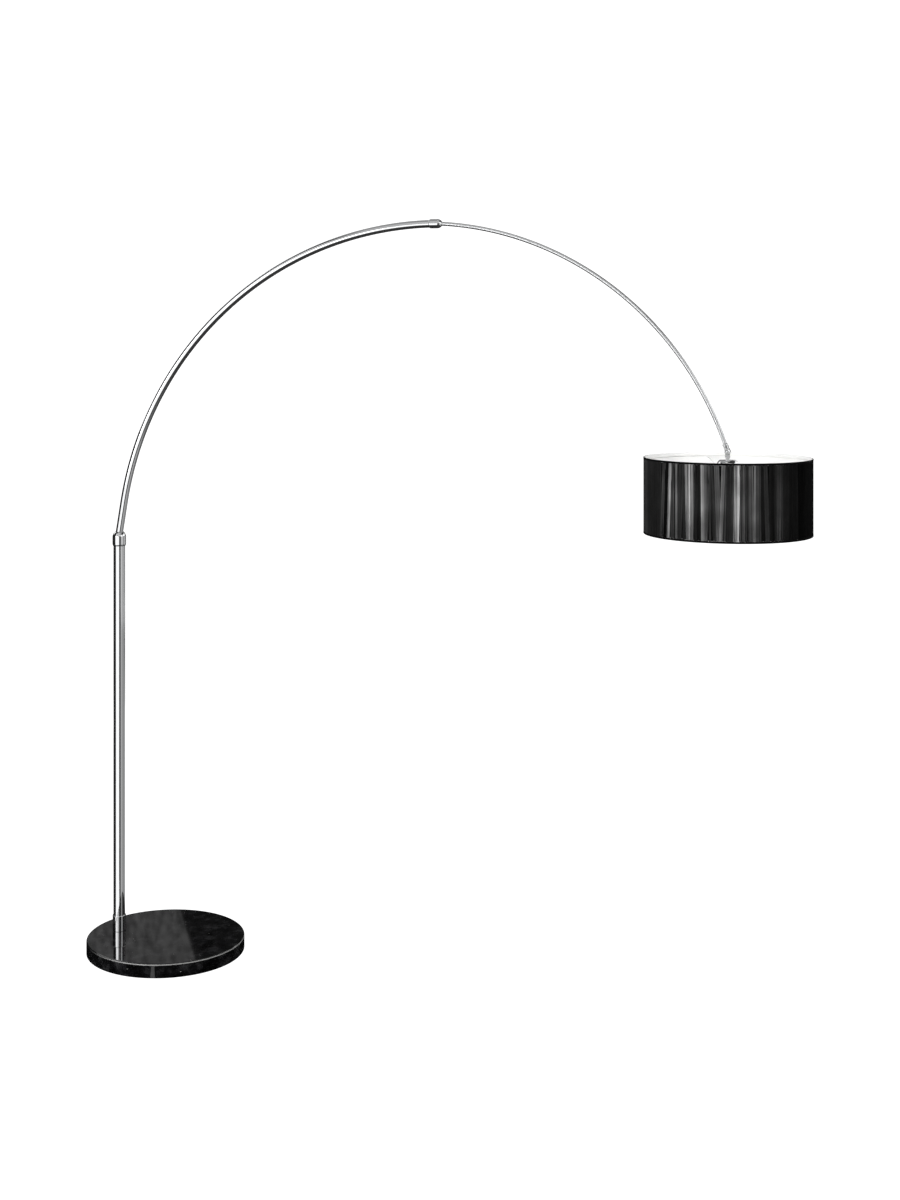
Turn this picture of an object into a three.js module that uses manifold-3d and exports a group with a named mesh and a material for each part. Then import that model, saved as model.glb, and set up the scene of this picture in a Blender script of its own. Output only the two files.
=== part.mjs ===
// Arc floor lamp: a steel bow in two telescoping tubes carries a string drum shade
// over a round marble base. Millimetres, +Z up, +X from the post towards the shade.
// The origin is the centre of the felt's underside.
import * as THREE from 'three';
import { mergeVertices } from 'three/addons/utils/BufferGeometryUtils.js';
import Module from 'manifold-3d';

const wasm = await Module();
wasm.setup();

// ---- Driving dimensions ----

const seatGap = 0.3; // between faces that rest on each other
const slideGap = 0.5; // radial play where one piece runs inside another

const base = { diameter: 400, thickness: 35, topRound: 4, footRound: 1.5 };
const felt = { thickness: 2, inset: 8 };
const post = { offset: 131.5, diameter: 30, wall: 1.5, length: 1006.7 };
const stud = { diameter: 10, bore: 7, headroom: 26 }; // M10 tube that ties the post to the marble
const anchor = { pocketDiameter: 38, pocketDepth: 16, washerDiameter: 32, washerThickness: 2.5 };
const anchorNut = { acrossFlats: 17, thickness: 6 };
const footPlug = { length: 24 };
const cordWay = { width: 9, height: 9, grommetLength: 12, skin: 1 };
const footCollar = { diameter: 34, height: 40, lipRound: 2.5 };
const capCollar = {
  diameter: 35, skirt: 19, crown: 17.4, coneHeight: 11.8, bulge: 1.1, footTaper: 5.5, flare: 0.6, lip: 0.4,
};
const capBush = { sleeve: 30, flange: 2 };
const grub = { diameter: 5, socket: 2.5, socketDepth: 2.5 };

const lowerTube = { diameter: 19, wall: 1.5, tail: 300 };
const tailBend = { radius: 60, angle: 9.6, straight: 72.5 };
const bowRadius = 844; // centreline radius that both tubes are bent to
const lowerSweep = 80.56; // degrees of bow from the straight to the tube's end
const tailGuide = { length: 24 };

const bowCollar = { diameter: 23, overlap: 14, nose: 14, coneLength: 9.3, bulge: 0.9, tailTaper: 3, lip: 0.4 };
const bowBush = { sleeve: 14, flange: 1.8 };

const upperTube = { diameter: 10, wall: 1, engaged: 215, reach: 914 };
const droop = { angle: 2.71, length: 14 }; // turn at the collar's mouth, under the shade's weight
const loadedRadius = 774.6; // radius that the thin tube takes up under the same weight
const slideGuide = { length: 14, play: 0.9 };

const ferrule = { diameter: 13.5, length: 8 };
const knuckle = { radius: 7.5, drop: 11.5, width: 13.6, slot: 5.4, neck: 10.6 };
const tiltScrew = { diameter: 4, headDiameter: 7, headHeight: 2.2 };
const tiltNut = { acrossFlats: 7, thickness: 3.2, washerDiameter: 8, washerThickness: 0.8 };
const tongueFoot = { diameter: 13, height: 3.4 };
const stem = { diameter: 10, bore: 7, length: 22 };

const cup = { diameter: 50, crownDiameter: 38, shoulder: 9, height: 33, wall: 1.2, drop: 5 };
const stemNut = { acrossFlats: 14, thickness: 3 };
const holder = { capDiameter: 35, capHeight: 22, wall: 2.2, skirtDiameter: 40, skirtHeight: 36 };
const block = { diameter: 29, height: 7 };
const shell = { diameter: 28, wall: 0.7, height: 22 };
const contact = { width: 5, length: 9, thickness: 0.8 };
const ringNut = { diameter: 48, height: 5 };
const bulb = { capDiameter: 25.6, capHeight: 24, globeDiameter: 60, glassHeight: 78, neckDiameter: 25 };

const shade = { diameter: 384.8, height: 176.4, drop: 13.2 };
const trim = { height: 4.5, thickness: 2.1 };
const liner = { thickness: 1.1 };
const skin = { thickness: 1.5, strands: 60, strandDepth: 0.7 };
const frameWire = { diameter: 3.2, inset: 7.5 };
const spider = { hubWidth: 4, hubThickness: 2, depth: 40, wire: 3, arms: 3, firstArm: 112 };

const lead = { diameter: 5 };

// ---- Materials ----

function finish(color, roughness, metalness) {
  return { color, roughness, metalness };
}
const finishes = {
  marble: finish('#161616', 0.12, 0),
  felt: finish('#1a1a1a', 1, 0),
  chrome: finish('#d9dbdd', 0.08, 1),
  zinc: finish('#9fa3a6', 0.4, 1),
  nylon: finish('#eceae2', 0.5, 0),
  rubber: finish('#1c1c1c', 0.8, 0),
  flex: finish('#202020', 0.6, 0),
  bakelite: finish('#151515', 0.35, 0),
  brass: finish('#c9a85a', 0.3, 1),
  ceramic: finish('#efece4', 0.4, 0),
  liner: finish('#f4f3ef', 0.6, 0),
  thread: finish('#262626', 0.85, 0),
  trim: finish('#0c0c0c', 0.8, 0),
  wire: finish('#f2f2f0', 0.45, 0),
  opal: finish('#f7f6f2', 0.25, 0),
};

// ---- Making shapes ----

const wideSides = 64; // round the marble and the shade

// A ring or a solid of revolution about Z, from [radius, height] points round its section.
function turned(points, segments = 24) {
  const section = points.map(([r, z]) => new THREE.Vector2(r, z));
  if (THREE.ShapeUtils.area(section) < 0) section.reverse();
  const first = section.findIndex((p) => p.x === 0);
  if (first < 0) {
    section.push(section[0].clone());
  } else {
    // an open section starts and ends on the axis
    while (section[0].x !== 0 || section[section.length - 1].x !== 0) section.push(section.shift());
  }
  return new THREE.LatheGeometry(section, segments).rotateX(Math.PI / 2);
}

// Points of a quarter ellipse between two [radius, height] points, bulging outwards.
function domed([r0, z0], [r1, z1], steps = 4) {
  const points = [];
  for (let i = 0; i <= steps; i++) {
    const a = (i / steps) * (Math.PI / 2);
    points.push([r1 + (r0 - r1) * Math.cos(a), z0 + (z1 - z0) * Math.sin(a)]);
  }
  return points;
}

// Points of a cone's side between two [radius, height] points, swelling outwards by the bulge.
function swelled([r0, z0], [r1, z1], bulge, steps = 4) {
  const slant = Math.hypot(r1 - r0, z1 - z0);
  const points = [];
  for (let i = 0; i <= steps; i++) {
    const t = i / steps;
    const out = (bulge * 4 * t * (1 - t)) / slant;
    points.push([r0 + (r1 - r0) * t + (z1 - z0) * out, z0 + (z1 - z0) * t + (r0 - r1) * out]);
  }
  return points;
}

function ring(outer, inner, bottom, top, segments = 24) {
  return turned([[inner, bottom], [outer, bottom], [outer, top], [inner, top]], segments);
}

function disc(radius, bottom, top, segments = 24) {
  return new THREE.CylinderGeometry(radius, radius, top - bottom, segments)
    .rotateX(Math.PI / 2)
    .translate(0, 0, (bottom + top) / 2);
}

function hexagon(acrossFlats, bottom, top) {
  return disc(acrossFlats / Math.sqrt(3), bottom, top, 6);
}

// A cylinder along +X, from x0 to x1.
function barAlongX(radius, x0, x1, segments = 16) {
  return disc(radius, x0, x1, segments).rotateY(Math.PI / 2);
}

// A cylinder along +Y, from y0 to y1.
function barAlongY(radius, y0, y1, segments = 24) {
  return disc(radius, y0, y1, segments).rotateX(-Math.PI / 2);
}

function block3(x0, x1, y0, y1, z0, z1) {
  return new THREE.BoxGeometry(x1 - x0, y1 - y0, z1 - z0)
    .translate((x0 + x1) / 2, (y0 + y1) / 2, (z0 + z1) / 2);
}

function toManifold(geometry) {
  const bare = geometry.clone();
  bare.deleteAttribute('normal');
  bare.deleteAttribute('uv');
  const merged = mergeVertices(bare, 1e-4);
  return new wasm.Manifold(new wasm.Mesh({
    numProp: 3,
    vertProperties: new Float32Array(merged.attributes.position.array),
    triVerts: new Uint32Array(merged.index.array),
  }));
}

function fromManifold(solid) {
  const mesh = solid.getMesh();
  const geometry = new THREE.BufferGeometry();
  geometry.setAttribute('position', new THREE.BufferAttribute(mesh.vertProperties, 3));
  geometry.setIndex(new THREE.BufferAttribute(mesh.triVerts, 1));
  return geometry;
}

function joined(first, ...more) {
  return fromManifold(more.reduce((solid, g) => solid.add(toManifold(g)), toManifold(first)));
}

function cut(first, ...tools) {
  return fromManifold(tools.reduce((solid, g) => solid.subtract(toManifold(g)), toManifold(first)));
}

// ---- Tubes bent in the XZ plane ----

const degrees = Math.PI / 180;

// Stations along straight and round legs. The heading is measured from +Z towards +X.
function walk(start, legs) {
  const stations = [start];
  for (const leg of legs) {
    const step = leg.length / leg.steps;
    const turn = (leg.turn ?? 0) / leg.steps;
    const chord = turn ? (step * Math.sin(turn / 2)) / (turn / 2) : step;
    for (let i = 0; i < leg.steps; i++) {
      const { x, z, heading } = stations[stations.length - 1];
      const along = heading + turn / 2;
      stations.push({
        x: x + chord * Math.sin(along),
        z: z + chord * Math.cos(along),
        heading: heading + turn,
      });
    }
  }
  return stations;
}

function roundLeg(radius, angle, steps) {
  return { length: radius * angle, turn: angle, steps };
}

// A curve that is sampled at its own stations.
class Centreline extends THREE.Curve {
  constructor(stations) {
    super();
    this.stations = stations;
  }

  station(u) {
    return this.stations[Math.round(u * (this.stations.length - 1))];
  }

  getPoint(u, target = new THREE.Vector3()) {
    const { x, z } = this.station(u);
    return target.set(x, 0, z);
  }

  getPointAt(u, target) {
    return this.getPoint(u, target);
  }

  getTangentAt(u, target = new THREE.Vector3()) {
    const { heading } = this.station(u);
    return target.set(Math.sin(heading), 0, Math.cos(heading));
  }
}

function tubeAlong(stations, outer, inner, halfSides) {
  const section = new THREE.Shape().absarc(0, 0, outer, 0, 2 * Math.PI);
  if (inner) section.holes.push(new THREE.Path().absarc(0, 0, inner, 0, 2 * Math.PI, true));
  return new THREE.ExtrudeGeometry(section, {
    steps: stations.length - 1,
    curveSegments: halfSides,
    extrudePath: new Centreline(stations),
  });
}

// ---- The scene graph ----

const lamp = new THREE.Group();

function groupAt(parent, x, z, heading = 0) {
  const group = new THREE.Group();
  group.position.set(x, 0, z);
  group.rotation.y = heading;
  parent.add(group);
  return group;
}

function add(parent, name, geometry, finishName) {
  const mesh = new THREE.Mesh(geometry, new THREE.MeshStandardMaterial(finishes[finishName]));
  mesh.name = name;
  parent.add(mesh);
  return mesh;
}

// ---- Stand: felt, marble, anchor, post ----

const marbleFoot = felt.thickness + seatGap;
const marbleTop = marbleFoot + base.thickness;
const postFoot = marbleTop + seatGap;
const postTop = postFoot + post.length;
const postRadius = post.diameter / 2;
const postBore = postRadius - post.wall;
const pocketTop = marbleFoot + anchor.pocketDepth;
const studTop = postFoot + stud.headroom;
const cordWayTop = marbleFoot + cordWay.height;

function makeFelt() {
  const sheet = disc(base.diameter / 2 - felt.inset, 0, felt.thickness, wideSides);
  const access = disc(anchor.pocketDiameter / 2, -1, felt.thickness + 1).translate(-post.offset, 0, 0);
  return cut(sheet, access);
}

function makeMarble() {
  const radius = base.diameter / 2;
  const slab = turned([
    [0, marbleFoot],
    [radius - base.footRound, marbleFoot],
    [radius, marbleFoot + base.footRound],
    ...domed([radius, marbleTop - base.topRound], [radius - base.topRound, marbleTop], 3),
    [0, marbleTop],
  ], wideSides);
  const studHole = disc(stud.diameter / 2 + slideGap, 0, marbleTop + 1).translate(-post.offset, 0, 0);
  const pocket = disc(anchor.pocketDiameter / 2, 0, pocketTop).translate(-post.offset, 0, 0);
  const channel = block3(
    -radius - 1, -post.offset, -cordWay.width / 2, cordWay.width / 2, 0, cordWayTop,
  );
  return cut(slab, studHole, pocket, channel);
}

// A rubber bush that closes the cord's way out of the marble, with a skin to push the cord through.
function makeGrommet() {
  const outside = -Math.sqrt((base.diameter / 2 - base.footRound) ** 2 - (cordWay.width / 2) ** 2);
  const half = cordWay.width / 2 - seatGap;
  const body = block3(
    outside, outside + cordWay.grommetLength, -half, half, marbleFoot, cordWayTop - seatGap,
  );
  const middle = (marbleFoot + cordWayTop) / 2;
  const hole = barAlongX(lead.diameter / 2 + slideGap, outside + cordWay.skin, 0).translate(0, 0, middle);
  return cut(body, hole);
}

const stand = new THREE.Group();
lamp.add(stand);
add(stand, 'base_felt', makeFelt(), 'felt');
add(stand, 'marble_base', makeMarble(), 'marble');
add(stand, 'cord_grommet', makeGrommet(), 'rubber');

const onPost = groupAt(lamp, -post.offset, 0);
const washerFoot = pocketTop - seatGap - anchor.washerThickness;
const anchorNutFoot = washerFoot - seatGap - anchorNut.thickness;
const studRadius = stud.diameter / 2;
const studHoleRadius = studRadius + seatGap;

add(onPost, 'anchor_stud',
  ring(studRadius, stud.bore / 2, anchorNutFoot - 1, studTop, 24), 'zinc');
add(onPost, 'anchor_washer',
  ring(anchor.washerDiameter / 2, studHoleRadius, washerFoot, washerFoot + anchor.washerThickness), 'zinc');
add(onPost, 'anchor_nut',
  cut(
    hexagon(anchorNut.acrossFlats, anchorNutFoot, anchorNutFoot + anchorNut.thickness),
    disc(studHoleRadius, 0, washerFoot, 24),
  ), 'zinc');
add(onPost, 'post_foot_plug',
  ring(postBore - seatGap, studHoleRadius, postFoot, postFoot + footPlug.length), 'zinc');
add(onPost, 'post_tube', ring(postRadius, postBore, postFoot, postTop), 'chrome');

function makeFootCollar() {
  const outer = footCollar.diameter / 2;
  const inner = postRadius + seatGap;
  const top = postFoot + footCollar.height;
  return turned([
    [inner, postFoot],
    [outer, postFoot],
    ...domed([outer, top - footCollar.lipRound], [inner + 0.4, top], 3),
    [inner, top],
  ]);
}
add(onPost, 'foot_collar', makeFootCollar(), 'chrome');

// ---- Cap collar: sits on the post through a flanged bush and turns with the bow ----

const lowerRadius = lowerTube.diameter / 2;
const lowerBore = lowerRadius - lowerTube.wall;
const capFlangeTop = postTop + seatGap + capBush.flange;
const capShoulder = capFlangeTop + seatGap;
const capTop = capShoulder + capCollar.crown;
const capFoot = capShoulder - capCollar.skirt;
const bendFoot = capTop - tailBend.radius * Math.sin(tailBend.angle * degrees) + 1.8;

function makeCapBush() {
  const bore = lowerRadius + slideGap;
  return turned([
    [bore, postTop - capBush.sleeve],
    [postBore - seatGap, postTop - capBush.sleeve],
    [postBore - seatGap, postTop + seatGap],
    [postRadius, postTop + seatGap],
    [postRadius, capFlangeTop],
    [bore, capFlangeTop],
  ]);
}

function makeCapCollar() {
  const outer = capCollar.diameter / 2;
  const skirtBore = postRadius + slideGap;
  const neckBore = lowerRadius + slideGap;
  const mouth = neckBore + capCollar.flare;
  const body = turned([
    [skirtBore, capFoot],
    [skirtBore + capCollar.lip, capFoot],
    [outer, capFoot + capCollar.footTaper],
    ...swelled([outer, capTop - capCollar.coneHeight], [mouth + capCollar.lip, capTop], capCollar.bulge),
    [mouth, capTop],
    [neckBore, bendFoot],
    [neckBore, capShoulder],
    [skirtBore, capShoulder],
  ]);
  return cut(body, grubHole(outer, neckBore, grubHeight));
}

// Grub screws stand in tapped holes on the collar's far side, along +Y.
const grubHeight = capShoulder + grub.diameter / 2 + 0.6;

function grubHole(outer, inner, height) {
  return barAlongY(grub.diameter / 2 + seatGap, inner - 1, outer + 1, 16).translate(0, 0, height);
}

function makeGrub(outer, inner, height) {
  const body = barAlongY(grub.diameter / 2, inner + seatGap, outer - seatGap, 16);
  const socket = disc(grub.socket / Math.sqrt(3), outer - seatGap - grub.socketDepth, outer + 1, 6)
    .rotateX(-Math.PI / 2);
  return cut(body, socket).translate(0, 0, height);
}

add(onPost, 'cap_bush', makeCapBush(), 'nylon');
add(onPost, 'cap_collar', makeCapCollar(), 'chrome');
add(onPost, 'cap_grub_screw',
  makeGrub(capCollar.diameter / 2, lowerRadius + seatGap, grubHeight), 'zinc');

// ---- Lower bow tube ----

const tailFoot = bendFoot - lowerTube.tail;
const bend = tailBend.angle * degrees;
const lowerStations = walk({ x: 0, z: tailFoot, heading: 0 }, [
  { length: lowerTube.tail, steps: 1 },
  roundLeg(tailBend.radius, bend, 2),
  { length: tailBend.straight, steps: 1 },
  roundLeg(bowRadius, lowerSweep * degrees - bowCollar.overlap / bowRadius, 18),
  roundLeg(bowRadius, bowCollar.overlap / bowRadius, 1),
]);
const lowerEnd = lowerStations[lowerStations.length - 1];

add(onPost, 'lower_bow_tube', tubeAlong(lowerStations, lowerRadius, lowerBore, 6), 'chrome');
add(onPost, 'tail_guide',
  ring(postBore - slideGap, lowerRadius + seatGap, tailFoot, tailFoot + tailGuide.length), 'nylon');

// ---- Bow collar: closes the thick tube's end and guides the thin tube ----

const bowEnd = groupAt(onPost, lowerEnd.x, lowerEnd.z, lowerEnd.heading);
const upperRadius = upperTube.diameter / 2;
const upperBore = upperRadius - upperTube.wall;
const bowShoulder = bowBush.flange + 2 * seatGap;
const noseEnd = bowShoulder + bowCollar.nose;

function makeBowCollar() {
  const outer = bowCollar.diameter / 2;
  const seat = lowerRadius + seatGap;
  const mouth = upperRadius + slideGap + 0.5;
  return cut(turned([
    [seat, -bowCollar.overlap],
    [seat + bowCollar.lip, -bowCollar.overlap],
    [outer, -bowCollar.overlap + bowCollar.tailTaper],
    ...swelled([outer, noseEnd - bowCollar.coneLength], [mouth + bowCollar.lip, noseEnd], bowCollar.bulge),
    [mouth, noseEnd],
    [mouth, bowShoulder],
    [seat, bowShoulder],
  ]), grubHole(outer, mouth, bowShoulder + grub.diameter / 2 + 0.5));
}

function makeBowBush() {
  const bore = upperRadius + slideGap;
  const sleeve = lowerBore - slideGap;
  return turned([
    [bore, -bowBush.sleeve],
    [sleeve, -bowBush.sleeve],
    [sleeve, seatGap],
    [lowerRadius, seatGap],
    [lowerRadius, seatGap + bowBush.flange],
    [bore, seatGap + bowBush.flange],
  ], 24);
}

add(bowEnd, 'bow_collar', makeBowCollar(), 'chrome');
add(bowEnd, 'bow_bush', makeBowBush(), 'nylon');
add(bowEnd, 'bow_grub_screw',
  makeGrub(bowCollar.diameter / 2, upperRadius + slideGap, bowShoulder + grub.diameter / 2 + 0.5), 'zinc');

// ---- Upper bow tube ----

const bowCentre = {
  x: lowerEnd.x + bowRadius * Math.cos(lowerEnd.heading),
  z: lowerEnd.z - bowRadius * Math.sin(lowerEnd.heading),
};

function onBow(heading) {
  return {
    x: bowCentre.x - bowRadius * Math.cos(heading),
    z: bowCentre.z + bowRadius * Math.sin(heading),
    heading,
  };
}

const upperStart = onBow(lowerEnd.heading - upperTube.engaged / bowRadius);
const toMouth = upperTube.engaged + noseEnd - droop.length;
const upperStations = walk(upperStart, [
  roundLeg(bowRadius, toMouth / bowRadius, 9),
  { length: droop.length, turn: droop.angle * degrees + droop.length / bowRadius, steps: 2 },
  roundLeg(loadedRadius, upperTube.reach / loadedRadius, 18),
]);
const upperEnd = upperStations[upperStations.length - 1];

add(onPost, 'upper_bow_tube', tubeAlong(upperStations, upperRadius, upperBore, 6), 'chrome');

const guideMiddle = onBow(upperStart.heading + slideGuide.length / 2 / bowRadius);
add(groupAt(onPost, guideMiddle.x, guideMiddle.z, guideMiddle.heading), 'slide_guide',
  ring(lowerBore - slideGuide.play, upperRadius + seatGap, -slideGuide.length / 2, slideGuide.length / 2, 24),
  'nylon');

// ---- Tilt knuckle ----

const tip = groupAt(onPost, upperEnd.x, upperEnd.z, upperEnd.heading);
const pivot = {
  x: upperEnd.x + knuckle.drop * Math.sin(upperEnd.heading),
  z: upperEnd.z + knuckle.drop * Math.cos(upperEnd.heading),
};
const cheekFace = knuckle.width / 2;
const screwHole = tiltScrew.diameter / 2 + seatGap;

function makeFerrule() {
  const outer = ferrule.diameter / 2;
  const bore = upperRadius + seatGap;
  return turned([
    [bore, -ferrule.length],
    [bore + 0.5, -ferrule.length],
    [outer, -ferrule.length + 2],
    [outer, 0],
    [bore, 0],
  ], 24);
}

// The fork hangs from the tube's end: a round neck that parts into two round cheeks.
function makeFork() {
  const neck = disc(cheekFace, seatGap, knuckle.drop, 24);
  const cheeks = barAlongY(knuckle.radius, -cheekFace, cheekFace).translate(0, 0, knuckle.drop);
  const slotTop = knuckle.drop - knuckle.radius - slideGap;
  const slot = block3(
    -knuckle.radius - 1, knuckle.radius + 1, -knuckle.slot / 2, knuckle.slot / 2,
    slotTop, knuckle.drop + knuckle.radius + 1,
  );
  const hole = barAlongY(screwHole, -cheekFace - 1, cheekFace + 1, 16).translate(0, 0, knuckle.drop);
  const wireWay = disc(lead.diameter / 2 + seatGap, 0, slotTop + 1, 16);
  return cut(joined(neck, cheeks), slot, hole, wireWay);
}

add(tip, 'tip_ferrule', makeFerrule(), 'chrome');
add(tip, 'knuckle_fork', makeFork(), 'chrome');

const tilt = groupAt(onPost, pivot.x, pivot.z);

function makeTiltScrew() {
  const end = cheekFace + tiltNut.washerThickness + tiltNut.thickness + 3 * seatGap;
  const headFace = -cheekFace - seatGap;
  const shank = barAlongY(tiltScrew.diameter / 2, headFace - 0.5, end, 16);
  const head = barAlongY(tiltScrew.headDiameter / 2, headFace - tiltScrew.headHeight, headFace);
  return joined(shank, head);
}

function tiltRing(outerGeometry) {
  return cut(outerGeometry, barAlongY(screwHole, 0, cheekFace * 3, 16));
}
const washerFace = cheekFace + seatGap;
const nutFace = washerFace + tiltNut.washerThickness + seatGap;

add(tilt, 'tilt_screw', makeTiltScrew(), 'chrome');
add(tilt, 'tilt_washer',
  tiltRing(barAlongY(tiltNut.washerDiameter / 2, washerFace, washerFace + tiltNut.washerThickness)), 'zinc');
add(tilt, 'tilt_nut',
  tiltRing(hexagon(tiltNut.acrossFlats, nutFace, nutFace + tiltNut.thickness).rotateX(-Math.PI / 2)), 'zinc');

// ---- Shade head: tongue, stem, cup and lampholder ----

const stemTop = -knuckle.neck - tongueFoot.height - seatGap;
const cupTop = stemTop - cup.drop + seatGap;
const stemRadius = stem.diameter / 2;
const stemHole = stemRadius + seatGap;

function makeTongue() {
  const half = knuckle.slot / 2 - seatGap;
  const eye = barAlongY(knuckle.radius, -half, half);
  const web = block3(-tongueFoot.diameter / 2 + 1, tongueFoot.diameter / 2 - 1, -half, half,
    -knuckle.neck - 0.5, 0);
  const foot = disc(tongueFoot.diameter / 2, -knuckle.neck - tongueFoot.height, -knuckle.neck, 24);
  return cut(joined(eye, web, foot), barAlongY(screwHole, -half - 1, half + 1, 16));
}

function makeCup() {
  const outer = cup.diameter / 2;
  const crown = cup.crownDiameter / 2;
  const foot = cupTop - cup.height;
  return turned([
    [stemHole, cupTop],
    [crown, cupTop],
    [outer, cupTop - cup.shoulder],
    [outer, foot],
    [outer - cup.wall, foot],
    [outer - cup.wall, cupTop - cup.shoulder - 0.4],
    [crown - 0.4, cupTop - cup.wall],
    [stemHole, cupTop - cup.wall],
  ]);
}

const stemNutTop = cupTop - cup.wall - seatGap;
const holderTop = stemNutTop - stemNut.thickness - seatGap;
const holderSplit = holderTop - holder.capHeight;
const skirtFoot = holderSplit - holder.skirtHeight;
const skirtRadius = holder.skirtDiameter / 2;
const capRadius = holder.capDiameter / 2;

function makeHolderCap() {
  return turned([
    [stemHole, holderTop],
    ...domed([capRadius, holderTop - 6], [capRadius - 6, holderTop], 3).reverse(),
    [capRadius, holderSplit],
    [capRadius - holder.wall, holderSplit],
    [capRadius - holder.wall, holderTop - holder.wall - 3],
    [stemHole, holderTop - holder.wall - 1],
  ]);
}

function makeHolderSkirt() {
  const throat = shell.diameter / 2 + seatGap;
  return turned([
    [throat, skirtFoot],
    [skirtRadius, skirtFoot],
    [skirtRadius, holderSplit - seatGap],
    [throat, holderSplit - seatGap],
  ]);
}

const blockFoot = holderSplit + seatGap;
const blockTop = blockFoot + block.height;
const shellTop = holderSplit - seatGap;
const shellFoot = shellTop - shell.height;
const bulbCapTop = shellTop - 3;
const bulbCapFoot = bulbCapTop - bulb.capHeight;

function makeContact() {
  return block3(
    -contact.length / 2, contact.length / 2, -contact.width / 2, contact.width / 2,
    shellTop - contact.thickness - 1, shellTop - 1,
  );
}

function makeBulbCap() {
  const radius = bulb.capDiameter / 2;
  return turned([
    [0, bulbCapFoot],
    [radius, bulbCapFoot],
    [radius, bulbCapTop - 3],
    [radius - 4, bulbCapTop - 0.8],
    [3.5, bulbCapTop - 0.8],
    [3.5, bulbCapTop],
    [0, bulbCapTop],
  ], 24);
}

// The globe is a sphere that runs into the neck through a straight flare.
function makeBulbGlass() {
  const globe = bulb.globeDiameter / 2;
  const neck = bulb.neckDiameter / 2;
  const top = bulbCapFoot - seatGap;
  const centre = top - bulb.glassHeight + globe;
  const points = [[0, centre - globe]];
  const rings = 8;
  const flareAngle = 130 * degrees;
  for (let i = 1; i <= rings; i++) {
    const a = (i / rings) * flareAngle;
    points.push([globe * Math.sin(a), centre - globe * Math.cos(a)]);
  }
  points.push([neck, top - 8], [neck, top], [0, top]);
  return turned(points);
}

add(tilt, 'knuckle_tongue', makeTongue(), 'chrome');
add(tilt, 'stem_tube', ring(stemRadius, stem.bore / 2, stemTop - stem.length, stemTop, 24), 'chrome');
add(tilt, 'socket_cup', makeCup(), 'chrome');
add(tilt, 'stem_nut',
  cut(
    hexagon(stemNut.acrossFlats, stemNutTop - stemNut.thickness, stemNutTop),
    disc(stemHole, stemTop - stem.length, stemTop, 24),
  ), 'zinc');
add(tilt, 'holder_cap', makeHolderCap(), 'bakelite');
add(tilt, 'holder_skirt', makeHolderSkirt(), 'bakelite');
add(tilt, 'contact_block', disc(block.diameter / 2, blockFoot, blockTop), 'ceramic');
add(tilt, 'screw_shell',
  ring(shell.diameter / 2, shell.diameter / 2 - shell.wall, shellFoot, shellTop), 'brass');
add(tilt, 'centre_contact', makeContact(), 'brass');
add(tilt, 'bulb_cap', makeBulbCap(), 'zinc');
add(tilt, 'bulb_glass', makeBulbGlass(), 'opal');

// ---- Shade: spider, wire rings, liner, strings and trims ----

const shadeTop = -shade.drop;
const shadeFoot = shadeTop - shade.height;
const shadeRadius = shade.diameter / 2;
const linerOuter = shadeRadius - trim.thickness;
const linerInner = linerOuter - liner.thickness;
const hubTop = shadeTop - spider.depth;
const hubFoot = hubTop - spider.hubThickness;
const hubInner = skirtRadius + slideGap;
const hubOuter = hubInner + spider.hubWidth;
const wireRingRadius = linerInner - seatGap - frameWire.diameter / 2;

// The strings are wound side by side, so the sleeve's outside is a row of round strands.
function makeStrings() {
  const inner = linerOuter + seatGap;
  const outer = inner + skin.thickness;
  const pitch = (2 * Math.PI) / skin.strands;
  const section = new THREE.Shape();
  for (let i = 0; i < skin.strands; i++) {
    const valley = outer - skin.strandDepth;
    for (const [share, radius] of [[0, valley], [0.3, outer], [0.7, outer]]) {
      const a = (i + share) * pitch;
      const x = radius * Math.cos(a);
      const y = radius * Math.sin(a);
      if (i === 0 && share === 0) section.moveTo(x, y);
      else section.lineTo(x, y);
    }
  }
  section.closePath();
  section.holes.push(new THREE.Path().absarc(0, 0, inner, 0, 2 * Math.PI, true));
  const height = shade.height - 2 * (trim.height + seatGap);
  return new THREE.ExtrudeGeometry(section, {
    depth: height, bevelEnabled: false, curveSegments: wideSides / 2,
  })
    .translate(0, 0, shadeFoot + trim.height + seatGap);
}

function makeTrim(foot) {
  return ring(shadeRadius, linerOuter + seatGap, foot, foot + trim.height, wideSides);
}

function makeWireRing(height) {
  return new THREE.TorusGeometry(wireRingRadius, frameWire.diameter / 2, 6, 40).translate(0, 0, height);
}

function makeSpiderArm(index) {
  const from = new THREE.Vector3(hubOuter + seatGap, 0, (hubTop + hubFoot) / 2);
  const to = new THREE.Vector3(
    wireRingRadius - frameWire.diameter / 2 - seatGap - 0.4, 0, shadeTop - frameWire.inset,
  );
  const length = from.distanceTo(to);
  const rise = Math.atan2(to.z - from.z, to.x - from.x);
  return barAlongX(spider.wire / 2, 0, length, 8)
    .rotateY(-rise)
    .translate(from.x, 0, from.z)
    .rotateZ((spider.firstArm + (index * 360) / spider.arms) * degrees);
}

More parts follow.
